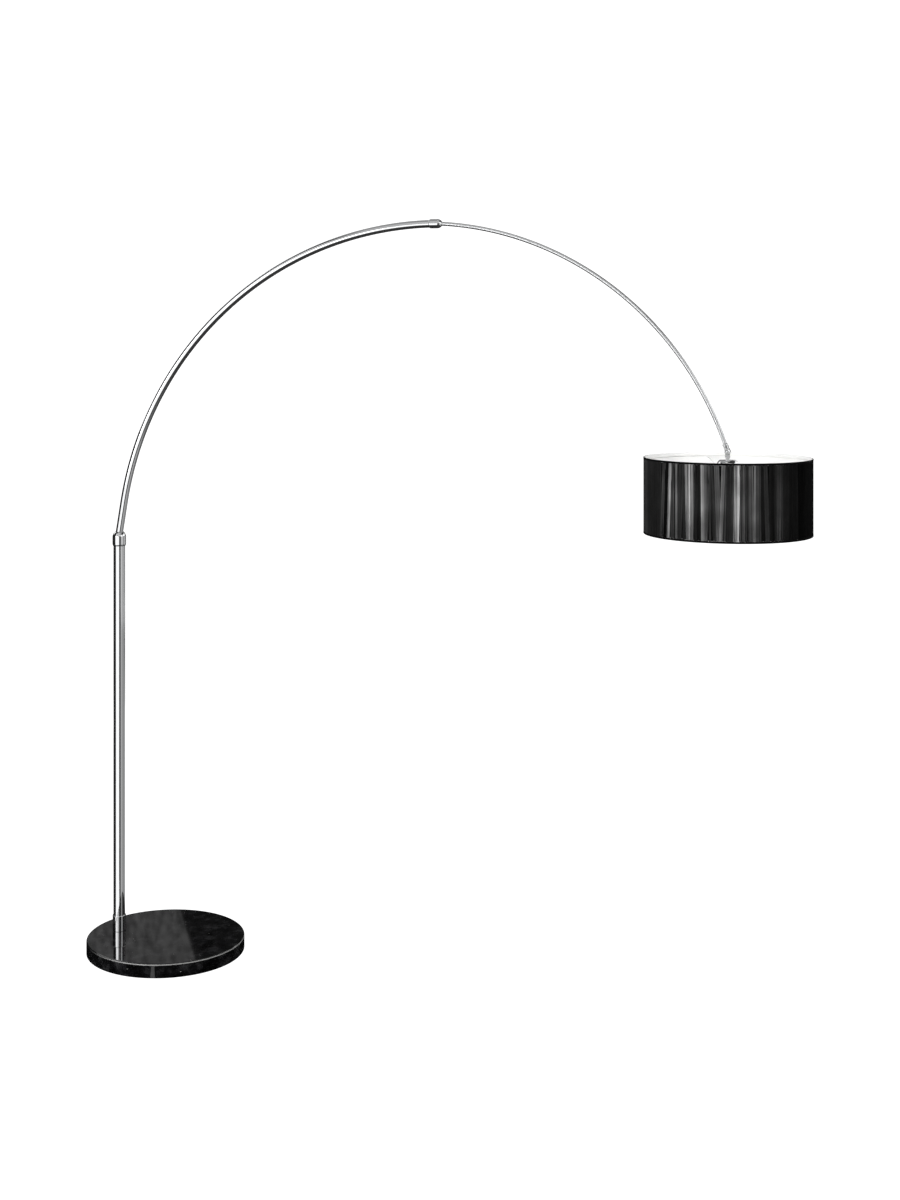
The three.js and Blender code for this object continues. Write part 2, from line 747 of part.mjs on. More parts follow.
add(tilt, 'spider_hub', ring(hubOuter, hubInner, hubFoot, hubTop), 'wire');
for (let i = 0; i < spider.arms; i++) {
  add(tilt, `spider_arm_${i + 1}`, makeSpiderArm(i), 'wire');
}
add(tilt, 'ring_nut_upper',
  ring(ringNut.diameter / 2 - cup.wall - slideGap, hubInner, hubTop + seatGap, hubTop + seatGap + ringNut.height),
  'bakelite');
add(tilt, 'ring_nut_lower',
  ring(ringNut.diameter / 2, hubInner, hubFoot - seatGap - ringNut.height, hubFoot - seatGap), 'bakelite');
add(tilt, 'top_wire_ring', makeWireRing(shadeTop - frameWire.inset), 'wire');
add(tilt, 'bottom_wire_ring', makeWireRing(shadeFoot + frameWire.inset), 'wire');
add(tilt, 'shade_liner', ring(linerOuter, linerInner, shadeFoot, shadeTop, wideSides), 'liner');
add(tilt, 'shade_strings', makeStrings(), 'thread');
add(tilt, 'top_trim', makeTrim(shadeTop - trim.height), 'trim');
add(tilt, 'bottom_trim', makeTrim(shadeFoot), 'trim');

// ---- Flex inside the tubes, a length to each moving part ----

const leadRadius = lead.diameter / 2;
const leadSides = 3;
add(onPost, 'lead_post', disc(leadRadius, marbleFoot + seatGap, tailFoot - seatGap, 8), 'flex');

const guideClear = (upperTube.engaged + slideGuide.length) / bowRadius;
add(onPost, 'lead_lower', tubeAlong(walk({ x: 0, z: tailFoot, heading: 0 }, [
  { length: lowerTube.tail, steps: 1 },
  roundLeg(tailBend.radius, bend, 2),
  { length: tailBend.straight, steps: 1 },
  roundLeg(bowRadius, lowerSweep * degrees - guideClear, 16),
]), leadRadius, 0, leadSides), 'flex');

add(onPost, 'lead_upper', tubeAlong(upperStations, leadRadius, 0, leadSides), 'flex');
add(tilt, 'lead_head', disc(leadRadius, blockTop + seatGap, stemTop - seatGap, 8), 'flex');

export default lamp;
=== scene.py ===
import math
import random
import bmesh
import bpy
from mathutils import Matrix, Vector


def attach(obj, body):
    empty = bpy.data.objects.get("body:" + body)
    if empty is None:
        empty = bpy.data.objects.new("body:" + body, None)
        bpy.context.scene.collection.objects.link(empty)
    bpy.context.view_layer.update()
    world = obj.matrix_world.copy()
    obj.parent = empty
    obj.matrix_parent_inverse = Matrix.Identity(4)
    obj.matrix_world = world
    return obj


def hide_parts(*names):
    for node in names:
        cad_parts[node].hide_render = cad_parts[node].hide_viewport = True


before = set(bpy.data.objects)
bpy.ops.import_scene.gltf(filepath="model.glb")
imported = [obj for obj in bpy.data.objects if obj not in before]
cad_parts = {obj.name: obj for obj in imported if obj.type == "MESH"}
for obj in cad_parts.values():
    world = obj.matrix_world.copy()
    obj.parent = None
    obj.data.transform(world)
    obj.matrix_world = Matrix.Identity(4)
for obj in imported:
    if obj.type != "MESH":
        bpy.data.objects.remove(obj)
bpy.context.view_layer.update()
mm = 0.001  # sizes below are in millimetres, and the scene is in metres
print("frame loaded")

# the camera, standing a little right of the lamp's middle
view = {"place": (1.8564, -3.9468, 1.5643), "turn": 17.44, "lens": 50.749, "shiftX": 0.0449,
        "shiftY": -0.2187}

cameraData = bpy.data.cameras.new("studioCamera")
cameraData.lens = view["lens"]
cameraData.sensor_width = 36
cameraData.shift_x = view["shiftX"]
cameraData.shift_y = view["shiftY"]
camera = bpy.data.objects.new("studioCamera", cameraData)
camera.location = view["place"]
camera.rotation_euler = (math.radians(90), 0, math.radians(view["turn"]))
bpy.context.scene.collection.objects.link(camera)
bpy.context.scene.camera = camera
bpy.context.scene.view_settings.view_transform = "Standard"


# shapes shared by the pieces

def place(x, z, lean=0.0):
    # a spot in the bow's own plane, with the piece's +Z leaned towards +X
    return Matrix.Translation((x, 0, z)) @ Matrix.Rotation(lean, 4, "Y")


def arc(centre, radius, start, end, steps=6):
    # [radius, height] points round a corner, angles in degrees from straight out
    points = []
    for i in range(steps + 1):
        a = math.radians(start + (end - start) * i / steps)
        points.append((centre[0] + radius * math.cos(a), centre[1] + radius * math.sin(a)))
    return points


def spun(profile, sides=96, where=Matrix(), soften=0.0):
    # profile in millimetres, closed unless both ends lie on the axis
    shape = bmesh.new()
    dots = [shape.verts.new((r * mm, 0, z * mm)) for r, z in profile]
    pairs = list(zip(dots, dots[1:]))
    if profile[0][0] or profile[-1][0]:
        pairs.append((dots[-1], dots[0]))
    rim = [shape.edges.new(pair) for pair in pairs]
    bmesh.ops.spin(shape, geom=dots + rim, cent=(0, 0, 0), axis=(0, 0, 1), dvec=(0, 0, 0),
                   angle=math.tau, steps=sides, use_merge=True)
    bmesh.ops.remove_doubles(shape, verts=shape.verts, dist=1e-6)
    bmesh.ops.recalc_face_normals(shape, faces=shape.faces)
    if soften:
        roundEdges(shape, soften)
    bmesh.ops.transform(shape, matrix=where, verts=shape.verts)
    return shape


def roundEdges(shape, width, sharper=30):
    sharp = [e for e in shape.edges
             if len(e.link_faces) == 2 and e.calc_face_angle(0) > math.radians(sharper)]
    bmesh.ops.bevel(shape, geom=sharp, offset=width * mm, offset_type="OFFSET", segments=2, profile=0.5,
                    affect="EDGES", clamp_overlap=True, material=-1)


def bar(radius, length, where, sides=32, soften=0.0):
    # a round bar centred on where's origin, along its own Z
    shape = bmesh.new()
    bmesh.ops.create_cone(shape, cap_ends=True, segments=sides, radius1=radius * mm, radius2=radius * mm,
                          depth=length * mm)
    if soften:
        roundEdges(shape, soften)
    bmesh.ops.transform(shape, matrix=where, verts=shape.verts)
    return shape


def block(size, where, soften=0.0):
    # a box centred on where's origin
    shape = bmesh.new()
    bmesh.ops.create_cube(shape, size=1)
    bmesh.ops.scale(shape, vec=Vector(size) * mm, verts=shape.verts)
    if soften:
        roundEdges(shape, soften)
    bmesh.ops.transform(shape, matrix=where, verts=shape.verts)
    return shape


def moved(shape, where):
    bmesh.ops.transform(shape, matrix=where, verts=shape.verts)
    return shape


def meshOf(shape, name):
    mesh = bpy.data.meshes.new(name)
    shape.to_mesh(mesh)
    shape.free()
    return mesh


def carved(shape, tools, how="DIFFERENCE"):
    # cuts the tools out of the shape, or joins them to it
    body = bpy.data.objects.new("blank", meshOf(shape, "blank"))
    bpy.context.scene.collection.objects.link(body)
    knives = []
    for tool in tools:
        knife = bpy.data.objects.new("knife", meshOf(tool, "knife"))
        bpy.context.scene.collection.objects.link(knife)
        cut = body.modifiers.new("cut", "BOOLEAN")
        cut.object = knife
        cut.operation = how
        cut.solver = "EXACT"
        knives.append(knife)
    bpy.context.view_layer.update()
    done = bmesh.new()
    done.from_object(body, bpy.context.evaluated_depsgraph_get())
    for used in [body] + knives:
        mesh = used.data
        bpy.data.objects.remove(used)
        bpy.data.meshes.remove(mesh)
    bmesh.ops.remove_doubles(done, verts=done.verts, dist=1e-6)
    return done


def piece(name, shape, body, material, stands=(), smooth=32):
    # a finished piece that rides on its body and stands in for the CAD nodes named
    mesh = meshOf(shape, name)
    mesh.polygons.foreach_set("use_smooth", [True] * len(mesh.polygons))
    mesh.set_sharp_from_angle(angle=math.radians(smooth))
    mesh.materials.append(material)
    made = bpy.data.objects.new(name, mesh)
    bpy.context.scene.collection.objects.link(made)
    flats = made.modifiers.new("flatsStayFlat", "WEIGHTED_NORMAL")
    flats.keep_sharp = True
    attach(made, body)
    if stands:
        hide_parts(*stands)
    return made


# materials, each named for what it is made of and how it was finished

def linear(hexColour):
    channels = [int(hexColour[i:i + 2], 16) / 255 for i in (1, 3, 5)]
    return tuple(c / 12.92 if c <= 0.04045 else ((c + 0.055) / 1.055) ** 2.4 for c in channels) + (1.0,)


def node(tree, kind, values=None, links=None, stops=()):
    # adds one node with its settings and links; stops are a colour ramp's positions and colours
    made = tree.nodes.new(kind)
    for key, value in (values or {}).items():
        if isinstance(key, int) or key in made.inputs:
            made.inputs[key].default_value = value
        else:
            setattr(made, key, value)
    for key, source in (links or {}).items():
        tree.links.new(source, made.inputs[key])
    if stops:
        while len(made.color_ramp.elements) < len(stops):
            made.color_ramp.elements.new(0.5)
        for element, (position, colour) in zip(made.color_ramp.elements, stops):
            element.position = position
            element.color = linear(colour)
    return made


def newMaterial(name, values):
    # what is the same all over the surface is set on the shader itself
    material = bpy.data.materials.new(name)
    material.use_nodes = True
    tree = material.node_tree
    shader = tree.nodes["Principled BSDF"]
    for key, value in values.items():
        shader.inputs[key].default_value = value
    return material, tree, shader


def grain(tree, width, detail=3.0, stretch=(1, 1, 1)):
    # cloudy grain about this many millimetres wide, on the piece's own coordinates
    where = node(tree, "ShaderNodeTexCoord").outputs["Object"]
    scaled = node(tree, "ShaderNodeMapping", {"Scale": stretch}, {"Vector": where}).outputs["Vector"]
    noise = node(tree, "ShaderNodeTexNoise", {"Scale": 1 / (width * mm), "Detail": detail},
                 {"Vector": scaled})
    return noise.outputs["Fac"]


def tinted(tree, shader, pattern, dark, pale):
    # the colour drifts between dark and pale with the pattern
    tone = node(tree, "ShaderNodeValToRGB", links={"Fac": pattern}, stops=[(0.3, dark), (0.7, pale)])
    tree.links.new(tone.outputs["Color"], shader.inputs["Base Color"])


def hazed(tree, shader, pattern, low, high):
    # the roughness drifts between low and high with the pattern
    haze = node(tree, "ShaderNodeMapRange", {"To Min": low, "To Max": high}, {"Value": pattern})
    tree.links.new(haze.outputs["Result"], shader.inputs["Roughness"])


def raised(tree, shader, pattern, depth):
    # the pattern stands out by up to this many millimetres
    bump = node(tree, "ShaderNodeBump", {"Strength": 1.0, "Distance": depth * mm}, {"Height": pattern})
    tree.links.new(bump.outputs["Normal"], shader.inputs["Normal"])


def chromePlate():
    # bright chromium over nickel on polished steel: a mirror with a faint haze of handling
    material, tree, shader = newMaterial("polishedChromePlate",
                                         {"Metallic": 1.0, "Base Color": linear("#e9eaeb")})
    hazed(tree, shader, grain(tree, 25), 0.035, 0.075)
    return material


def satinChrome():
    # chromium brushed to a satin: a soft mirror, for the tube that slides
    material, tree, shader = newMaterial("satinChromePlate",
                                         {"Metallic": 1.0, "Base Color": linear("#e4e5e6")})
    hazed(tree, shader, grain(tree, 3.33), 0.32, 0.42)
    return material


def zincPlate():
    # bright zinc on turned steel: soft grey metal with fine turning marks
    material, tree, shader = newMaterial("brightZincPlate", {"Metallic": 1.0})
    marks = grain(tree, 1.11, stretch=(1, 1, 6))
    tinted(tree, shader, marks, "#9da0a3", "#b9bcbf")
    hazed(tree, shader, marks, 0.28, 0.42)
    return material


def drawnBrass():
    # drawn brass: warm yellow metal, lightly dulled
    material, tree, shader = newMaterial("drawnBrass", {"Metallic": 1.0})
    dull = grain(tree, 5)
    tinted(tree, shader, dull, "#b89450", "#d2b068")
    hazed(tree, shader, dull, 0.18, 0.34)
    return material


def opalGlass():
    # opal-coated glass: white all through, with a clear gloss on top
    material, tree, shader = newMaterial("opalGlass", {
        "IOR": 1.52, "Roughness": 0.12, "Subsurface Weight": 0.25, "Subsurface Scale": 0.004})
    tinted(tree, shader, grain(tree, 33.3), "#f1efe9", "#f8f7f3")
    return material


def whitePvc():
    # matt white PVC sheet: bright and even, with a faint calendered grain
    material, tree, shader = newMaterial("whitePvcSheet", {"IOR": 1.53, "Roughness": 0.55})
    tinted(tree, shader, grain(tree, 40), "#f6f6f5", "#fbfbfa")
    raised(tree, shader, grain(tree, 0.83), 0.05)
    return material


def whiteEnamel():
    # white powder enamel on wire: gently glossy, with a slight orange peel
    material, tree, shader = newMaterial("whiteWireEnamel", {"IOR": 1.5, "Roughness": 0.3})
    tinted(tree, shader, grain(tree, 33.3), "#f1f1ef", "#f8f8f6")
    raised(tree, shader, grain(tree, 1.43), 0.05)
    return material


def plainCloth(name, dark, pale, fibre, depth):
    material, tree, shader = newMaterial(name, {"Roughness": 0.9, "Specular IOR Level": 0.1})
    fibres = grain(tree, fibre, detail=5)
    tinted(tree, shader, fibres, dark, pale)
    raised(tree, shader, fibres, depth)
    return material


def plainMoulding(name, dark, pale, roughness, ior=1.5):
    material, tree, shader = newMaterial(name, {"IOR": ior, "Roughness": roughness})
    tinted(tree, shader, grain(tree, 16.7), dark, pale)
    return material


def satinString():
    # satin viscose string: each one a grey between black and smoke, drifting along its length; its greys hold
    # painted sheen and shade
    material, tree, shader = newMaterial("satinViscoseString", {
        "IOR": 1.5, "Roughness": 0.45, "Specular IOR Level": 0.015})
    # the attribute is each string's grey, with the painted sheen and painted shade in it
    own = node(tree, "ShaderNodeAttribute", {"attribute_name": "stringToneAndSheen"}).outputs["Fac"]
    drift = node(tree, "ShaderNodeMapRange",
                 {"From Min": 0.3, "From Max": 0.7, "To Min": 0.68, "To Max": 1.25},
                 {"Value": grain(tree, 91, detail=2)})
    withPaintedLight = node(tree, "ShaderNodeMath", {"operation": "MULTIPLY"}, {0: own, 1: drift.outputs["Result"]})
    # the fibres are drawn 2 mm wide, far coarser than real, so that they show
    fibre = grain(tree, 2, stretch=(1, 1, 0.04))
    mixed = node(tree, "ShaderNodeMath", {"operation": "MULTIPLY_ADD", 1: 0.06},
                 {0: fibre, 2: withPaintedLight.outputs[0]})
    tone = node(tree, "ShaderNodeValToRGB", links={"Fac": mixed.outputs[0]}, stops=[
        (0.03, "#010101"), (0.28, "#343434"), (0.5, "#646464"), (0.75, "#949494"), (1.0, "#c4c4c4")])
    tree.links.new(tone.outputs["Color"], shader.inputs["Base Color"])
    return material


chrome = chromePlate()
satin = satinChrome()
zinc = zincPlate()
brass = drawnBrass()
opal = opalGlass()
pvc = whitePvc()
enamel = whiteEnamel()
string = satinString()
felt = plainCloth("pressedWoolFelt", "#141414", "#262626", 1.11, 0.4)  # matt and fuzzy, nearly black
trimTape = plainCloth("blackCottonTape", "#020202", "#080808", 0.71, 0.3)  # dead black, with a fine tooth
rubber = plainMoulding("blackNitrileRubber", "#161616", "#202020", 0.75)  # dull black
nylon = plainMoulding("naturalNylon", "#dedbd0", "#ebe8df", 0.45)  # milky, with a soft sheen
phenolic = plainMoulding("blackPhenolicMoulding", "#0f0f10", "#19191a", 0.28, ior=1.6)  # hard, glossy black
steatite = plainMoulding("unglazedSteatite", "#ddd9cf", "#ebe8df", 0.6)  # chalky cream
sheath = plainMoulding("blackPvcSheath", "#131313", "#1d1d1d", 0.5)  # smooth black with a low gloss
print("materials made")

# the stand: slab, felt, foot collar and post

postX = -131.5
# the arris sizes place the pale band on the rim, a painted highlight, and the last two say where it fades out
stone = {"radius": 200, "bottom": 2.3, "top": 37.3, "topRound": 4, "footRound": 1.5, "stud": 5.5,
         "pocket": 19, "pocketTop": 18.3, "channelTop": 11.3, "channelWidth": 9,
         "cloud": 23.8, "speckSpacing": 8.33, "arrisIn": 1.2, "arrisDown": 3.9, "arrisFade": 0.4,
         "withPaintedLightFrom": -140, "withPaintedLightFade": 100}
throughCut, deepCut = 100, 40  # lengths of the tools that cut the slab


def alongPost(z):
    return place(postX * mm, z * mm)


def blackMarble():
    # polished black marble: near black with smoky clouds and sparse pale specks, and a wet gloss; the arris
    # is rougher, and its pale colour there is a painted highlight, which fades out behind the post
    material, tree, shader = newMaterial("polishedBlackMarble", {"IOR": 1.6})
    clouds = node(tree, "ShaderNodeValToRGB", links={"Fac": grain(tree, stone["cloud"], detail=7)},
                  stops=[(0.34, "#050505"), (0.52, "#101011"), (0.7, "#2a2a2b")])
    where = node(tree, "ShaderNodeTexCoord").outputs["Object"]
    flakes = node(tree, "ShaderNodeTexVoronoi",
                  {"Scale": 1 / (stone["speckSpacing"] * mm), "Randomness": 1.0}, {"Vector": where})
    dots = node(tree, "ShaderNodeMapRange", {"From Min": 0.15, "From Max": 0.08},
                {"Value": flakes.outputs["Distance"]})
    chance = node(tree, "ShaderNodeSeparateColor", links={"Color": flakes.outputs["Color"]})
    chosen = node(tree, "ShaderNodeMath", {"operation": "GREATER_THAN", 1: 0.94}, {0: chance.outputs[0]})
    specks = node(tree, "ShaderNodeMath", {"operation": "MULTIPLY"},
                  {0: dots.outputs["Result"], 1: chosen.outputs[0]})
    speckled = node(tree, "ShaderNodeMix", {"data_type": "RGBA", 7: linear("#a2a29e")},
                    {0: specks.outputs[0], 6: clouds.outputs["Color"]})
    axes = node(tree, "ShaderNodeSeparateXYZ", links={"Vector": where})
    level = node(tree, "ShaderNodeCombineXYZ", links={"X": axes.outputs["X"], "Y": axes.outputs["Y"]})
    out = node(tree, "ShaderNodeVectorMath", {"operation": "LENGTH"}, {0: level.outputs["Vector"]})
    edges = ((out.outputs["Value"], stone["radius"] - stone["arrisIn"], stone["arrisFade"]),
             (axes.outputs["Z"], stone["top"] - stone["arrisDown"], stone["arrisFade"]),
             (axes.outputs["X"], stone["withPaintedLightFrom"], stone["withPaintedLightFade"]))
    rim, high, withPaintedLight = [
        node(tree, "ShaderNodeMapRange", {"From Min": start * mm, "From Max": (start + fade) * mm},
             {"Value": along})
        for along, start, fade in edges]
    corner = node(tree, "ShaderNodeMath", {"operation": "MULTIPLY"},
                  {0: rim.outputs["Result"], 1: high.outputs["Result"]})
    arris = node(tree, "ShaderNodeMath", {"operation": "MULTIPLY"},
                 {0: corner.outputs[0], 1: withPaintedLight.outputs["Result"]})
    # the arris gets a pale grey that is painted highlight, not the stone's colour; the roughness below makes
    # it rougher too
    edged = node(tree, "ShaderNodeMix", {"data_type": "RGBA", 7: linear("#8a8a89")},
                 {0: arris.outputs[0], 6: speckled.outputs[2]})
    tree.links.new(edged.outputs[2], shader.inputs["Base Color"])
    hazed(tree, shader, arris.outputs[0], 0.05, 0.4)
    return material


footRound, topRound = stone["footRound"], stone["topRound"]
slab = spun(
    [(0, stone["bottom"])]
    + arc((stone["radius"] - footRound, stone["bottom"] + footRound), footRound, -90, 0, 4)
    + arc((stone["radius"] - topRound, stone["top"] - topRound), topRound, 0, 90, 8)
    + [(0, stone["top"])], sides=256)
channelHeight = stone["channelTop"] + 10
channelSpot = ((postX - throughCut / 2) * mm, 0, (stone["channelTop"] - channelHeight / 2) * mm)
slab = carved(slab, [
    bar(stone["stud"], throughCut, alongPost(20)),
    bar(stone["pocket"], deepCut, alongPost(stone["pocketTop"] - deepCut / 2), sides=64),
    block((throughCut, stone["channelWidth"], channelHeight), Matrix.Translation(channelSpot))])
piece("marbleSlab", slab, "stand", blackMarble(), ["marble_base"])

pad = {"radius": 192, "thick": 2, "edge": 0.3, "hole": 19}
feltDisc = spun([(0, 0), (pad["radius"], 0), (pad["radius"], pad["thick"]), (0, pad["thick"])], 192,
                soften=pad["edge"])
feltDisc = carved(feltDisc, [bar(pad["hole"], 20, alongPost(0), 64)])
piece("feltDisc", feltDisc, "stand", felt, ["base_felt"])

post = {"foot": 37.6, "top": 1044.3, "radius": 15, "bore": 13.5, "edge": 0.3}
postShape = spun([(post["bore"], post["foot"]), (post["radius"], post["foot"]),
                  (post["radius"], post["top"]), (post["bore"], post["top"])], 128, alongPost(0),
                 post["edge"])
piece("postTube", postShape, "stand", chrome, ["post_tube"])

foot = {"radius": 17, "bore": 15.3, "height": 40, "round": 1.3, "chamfer": 0.4}
footTop = post["foot"] + foot["height"]
footShape = spun(
    [(foot["bore"], post["foot"]), (foot["radius"] - foot["chamfer"], post["foot"]),
     (foot["radius"], post["foot"] + foot["chamfer"])]
    + arc((foot["radius"] - foot["round"], footTop - foot["round"]), foot["round"], 0, 90, 6)
    + [(foot["bore"], footTop)], 128, alongPost(0))
piece("footCollar", footShape, "stand", chrome, ["foot_collar"])
print("stand made")

# the cap collar, which turns on the post

cap = {"radius": 17.5, "foot": 1027.9, "shoulder": 1046.9, "top": 1064.3, "cone": 11.8, "bulge": 1.1,
       "footTaper": 5.5, "mouth": 10.6, "lip": 0.4, "skirtBore": 15.5, "neckBore": 10, "neckFoot": 1056.1,
       "screwZ": 1050, "screwOut": 14, "skirtSwell": 0.3}
grubScrew = {"radius": 2.5, "hole": 2.8, "cut": 10, "point": 1.6, "pointChamfer": 0.9, "edge": 0.3,
             "socket": 1.44}


def swelled(low, high, bulge, steps=12):
    # points up a cone's side between two [radius, height] points, swelling outwards by the bulge
    rise, run = high[1] - low[1], low[0] - high[0]
    slant = math.hypot(rise, run)
    points = []
    for i in range(steps + 1):
        t = i / steps
        out = bulge * 4 * t * (1 - t) / slant
        points.append((low[0] - run * t + rise * out, low[1] + rise * t + run * out))
    return points


capShape = spun(
    [(cap["skirtBore"], cap["foot"]), (cap["skirtBore"] + cap["lip"], cap["foot"])]
    + swelled((cap["skirtBore"] + cap["lip"] + 0.1, cap["foot"] + 0.2),
              (cap["radius"], cap["foot"] + cap["footTaper"]), cap["skirtSwell"], 6)
    + swelled((cap["radius"], cap["top"] - cap["cone"]), (cap["mouth"] + cap["lip"], cap["top"]),
              cap["bulge"])
    + [(cap["mouth"], cap["top"]), (cap["neckBore"], cap["neckFoot"]), (cap["neckBore"], cap["shoulder"]),
       (cap["skirtBore"], cap["shoulder"])], 128, alongPost(0))
screwSpot = Matrix.Translation((postX * mm, cap["screwOut"] * mm, cap["screwZ"] * mm))
crosswise = Matrix.Rotation(math.pi / 2, 4, "X")
capShape = carved(capShape, [bar(grubScrew["hole"], grubScrew["cut"], screwSpot @ crosswise)])
piece("capCollar", capShape, "swivel_collar", chrome, ["cap_collar"])

# the bow: the lower tube, the upper tube that slides in it, and the collar between

bow = {"radius": 844, "sweep": 80.56, "tail": 300, "tailFoot": 756.1, "bendRadius": 60, "bend": 9.6,
       "straight": 72.5, "engaged": 215, "mouth": 16.4, "droop": 2.71, "droopLength": 14,
       "loadedRadius": 774.6, "reach": 914, "lower": 9.5, "lowerBore": 8, "upper": 5, "upperBore": 4}


def onward(spot, leg):
    # the spot and heading at a leg's end; heading is measured from +Z towards +X
    x, z, heading = spot
    length, turn = leg
    if not turn:
        return x + length * math.sin(heading), z + length * math.cos(heading), heading
    chord = 2 * length / turn * math.sin(turn / 2)
    return x + chord * math.sin(heading + turn / 2), z + chord * math.cos(heading + turn / 2), heading + turn


def bentTube(start, legs, radius, bore, sides=64, degreesEach=0.6):
    # two rings are pushed along straight legs and spun round curved ones, then closed at both ends
    shape = bmesh.new()
    where = place(start[0] * mm, start[1] * mm, start[2])
    rings = []
    for size in (radius, bore):
        made = bmesh.ops.create_circle(shape, segments=sides, radius=size * mm, matrix=where)
        rings += dict.fromkeys(e for v in made["verts"] for e in v.link_edges)
    bmesh.ops.bridge_loops(shape, edges=rings)
    spot = start
    for leg in legs:
        x, z, heading = spot
        length, turn = leg
        if turn:
            reach = length / turn
            centre = ((x + reach * math.cos(heading)) * mm, 0, (z - reach * math.sin(heading)) * mm)
            steps = max(2, round(math.degrees(turn) / degreesEach))
            made = bmesh.ops.spin(shape, geom=rings, cent=centre, axis=(0, 1, 0), dvec=(0, 0, 0), angle=turn,
                                  steps=steps, use_merge=False)["geom_last"]
        else:
            made = bmesh.ops.extrude_edge_only(shape, edges=rings)["geom"]
            push = Vector((math.sin(heading), 0, math.cos(heading))) * length * mm
            bmesh.ops.translate(shape, vec=push, verts=[g for g in made if isinstance(g, bmesh.types.BMVert)])
            made = [e for e in made if isinstance(e, bmesh.types.BMEdge)
                    and all(v in made for v in e.verts)]
        rings = [e for e in made if isinstance(e, bmesh.types.BMEdge)]
        spot = onward(spot, leg)
    bmesh.ops.bridge_loops(shape, edges=rings)
    bmesh.ops.recalc_face_normals(shape, faces=shape.faces)
    return shape, spot


def curveLeg(radius, turn):
    # a leg is its length and how far it turns
    return radius * turn, turn


tailFoot = (postX, bow["tailFoot"], 0.0)
lowerLegs = [(bow["tail"], 0), curveLeg(bow["bendRadius"], math.radians(bow["bend"])), (bow["straight"], 0),
             curveLeg(bow["radius"], math.radians(bow["sweep"]))]
lowerShape, bowEnd = bentTube(tailFoot, lowerLegs, bow["lower"], bow["lowerBore"])
piece("lowerBowTube", lowerShape, "lower_arm", chrome, ["lower_bow_tube"])

engagedTurn = bow["engaged"] / bow["radius"]
centreX = bowEnd[0] + bow["radius"] * math.cos(bowEnd[2])
centreZ = bowEnd[1] - bow["radius"] * math.sin(bowEnd[2])
innerHeading = bowEnd[2] - engagedTurn
innerStart = (centreX - bow["radius"] * math.cos(innerHeading),
              centreZ + bow["radius"] * math.sin(innerHeading), innerHeading)
straightOut = bow["engaged"] + bow["mouth"] - bow["droopLength"]
droopTurn = math.radians(bow["droop"]) + bow["droopLength"] / bow["radius"]
upperLegs = [(straightOut, straightOut / bow["radius"]), (bow["droopLength"], droopTurn),
             (bow["reach"], bow["reach"] / bow["loadedRadius"])]
upperShape, tip = bentTube(innerStart, upperLegs, bow["upper"], bow["upperBore"], sides=48)
piece("upperBowTube", upperShape, "upper_arm", satin, ["upper_bow_tube"])

collar = {"radius": 11.5, "overlap": 14, "shoulder": 2.4, "nose": 14, "cone": 9.3, "bulge": 0.9,
          "tailTaper": 3, "mouth": 6, "lip": 0.4, "seat": 9.8, "tailSwell": 0.3, "grubUp": 3, "grubOut": 9}
atBowEnd = place(bowEnd[0] * mm, bowEnd[1] * mm, bowEnd[2])
noseEnd = collar["shoulder"] + collar["nose"]
collarShape = spun(
    [(collar["seat"], -collar["overlap"])]
    + swelled((collar["seat"] + collar["lip"], -collar["overlap"]),
              (collar["radius"], -collar["overlap"] + collar["tailTaper"]), collar["tailSwell"], 6)
    + swelled((collar["radius"], noseEnd - collar["cone"]), (collar["mouth"] + collar["lip"], noseEnd),
              collar["bulge"])
    + [(collar["mouth"], noseEnd), (collar["mouth"], collar["shoulder"]),
       (collar["seat"], collar["shoulder"])], 128)
screwSpot = Matrix.Translation((0, collar["grubOut"] * mm, (collar["shoulder"] + collar["grubUp"]) * mm))
collarShape = carved(collarShape, [bar(grubScrew["hole"], 8, screwSpot @ crosswise)])
piece("bowCollar", moved(collarShape, atBowEnd), "lower_arm", chrome, ["bow_collar"])
print("bow made")

# the knuckle at the thin tube's end

knuckle = {"radius": 7.5, "drop": 11.5, "width": 13.6, "round": 1.6, "slot": 5.4, "slotTop": 3.5, "hole": 2.3,
           "wireHole": 2.8, "cut": 20}
atTip = place(tip[0] * mm, tip[1] * mm, tip[2])
pivotX = tip[0] + knuckle["drop"] * math.sin(tip[2])
pivotZ = tip[1] + knuckle["drop"] * math.cos(tip[2])
atPivot = place(pivotX * mm, pivotZ * mm)
sideways = Matrix.Rotation(-math.pi / 2, 4, "X")


def across(where, y=0.0):
    # the same spot with +Z turned to the lamp's +Y, y millimetres along it
    return where @ Matrix.Translation((0, y * mm, 0)) @ sideways


def pebble(radius, half, rounding, sides=64):
    # a thick disc with rounded rims, about its own Z
    return spun([(0, -half)] + arc((radius - rounding, rounding - half), rounding, -90, 0, 5)
                + arc((radius - rounding, half - rounding), rounding, 0, 90, 5) + [(0, half)], sides)


ferrule = {"radius": 6.75, "bore": 5.3, "length": 8, "lip": 0.4, "taper": 2.4, "swell": 0.25, "groove": 2,
           "grooveHalf": 0.3, "grooveSide": 0.3, "grooveDepth": 0.5, "chamfer": 0.2}
grooveOut = ferrule["grooveHalf"] + ferrule["grooveSide"]
grooveRadius = ferrule["radius"] - ferrule["grooveDepth"]
ferruleShape = spun(
    [(ferrule["bore"], -ferrule["length"]), (ferrule["bore"] + ferrule["lip"] - 0.1, -ferrule["length"])]
    + swelled((ferrule["bore"] + ferrule["lip"], 0.1 - ferrule["length"]),
              (ferrule["radius"], ferrule["taper"] - ferrule["length"]), ferrule["swell"], 6)
    + [(ferrule["radius"], -ferrule["groove"] - grooveOut),
       (grooveRadius, -ferrule["groove"] - ferrule["grooveHalf"]),
       (grooveRadius, ferrule["grooveHalf"] - ferrule["groove"]),
       (ferrule["radius"], grooveOut - ferrule["groove"]),
       (ferrule["radius"], -ferrule["chamfer"]), (ferrule["radius"] - ferrule["chamfer"], 0),
       (ferrule["bore"], 0)],
    64, atTip)
piece("tipFerrule", ferruleShape, "upper_arm", chrome, ["tip_ferrule"])

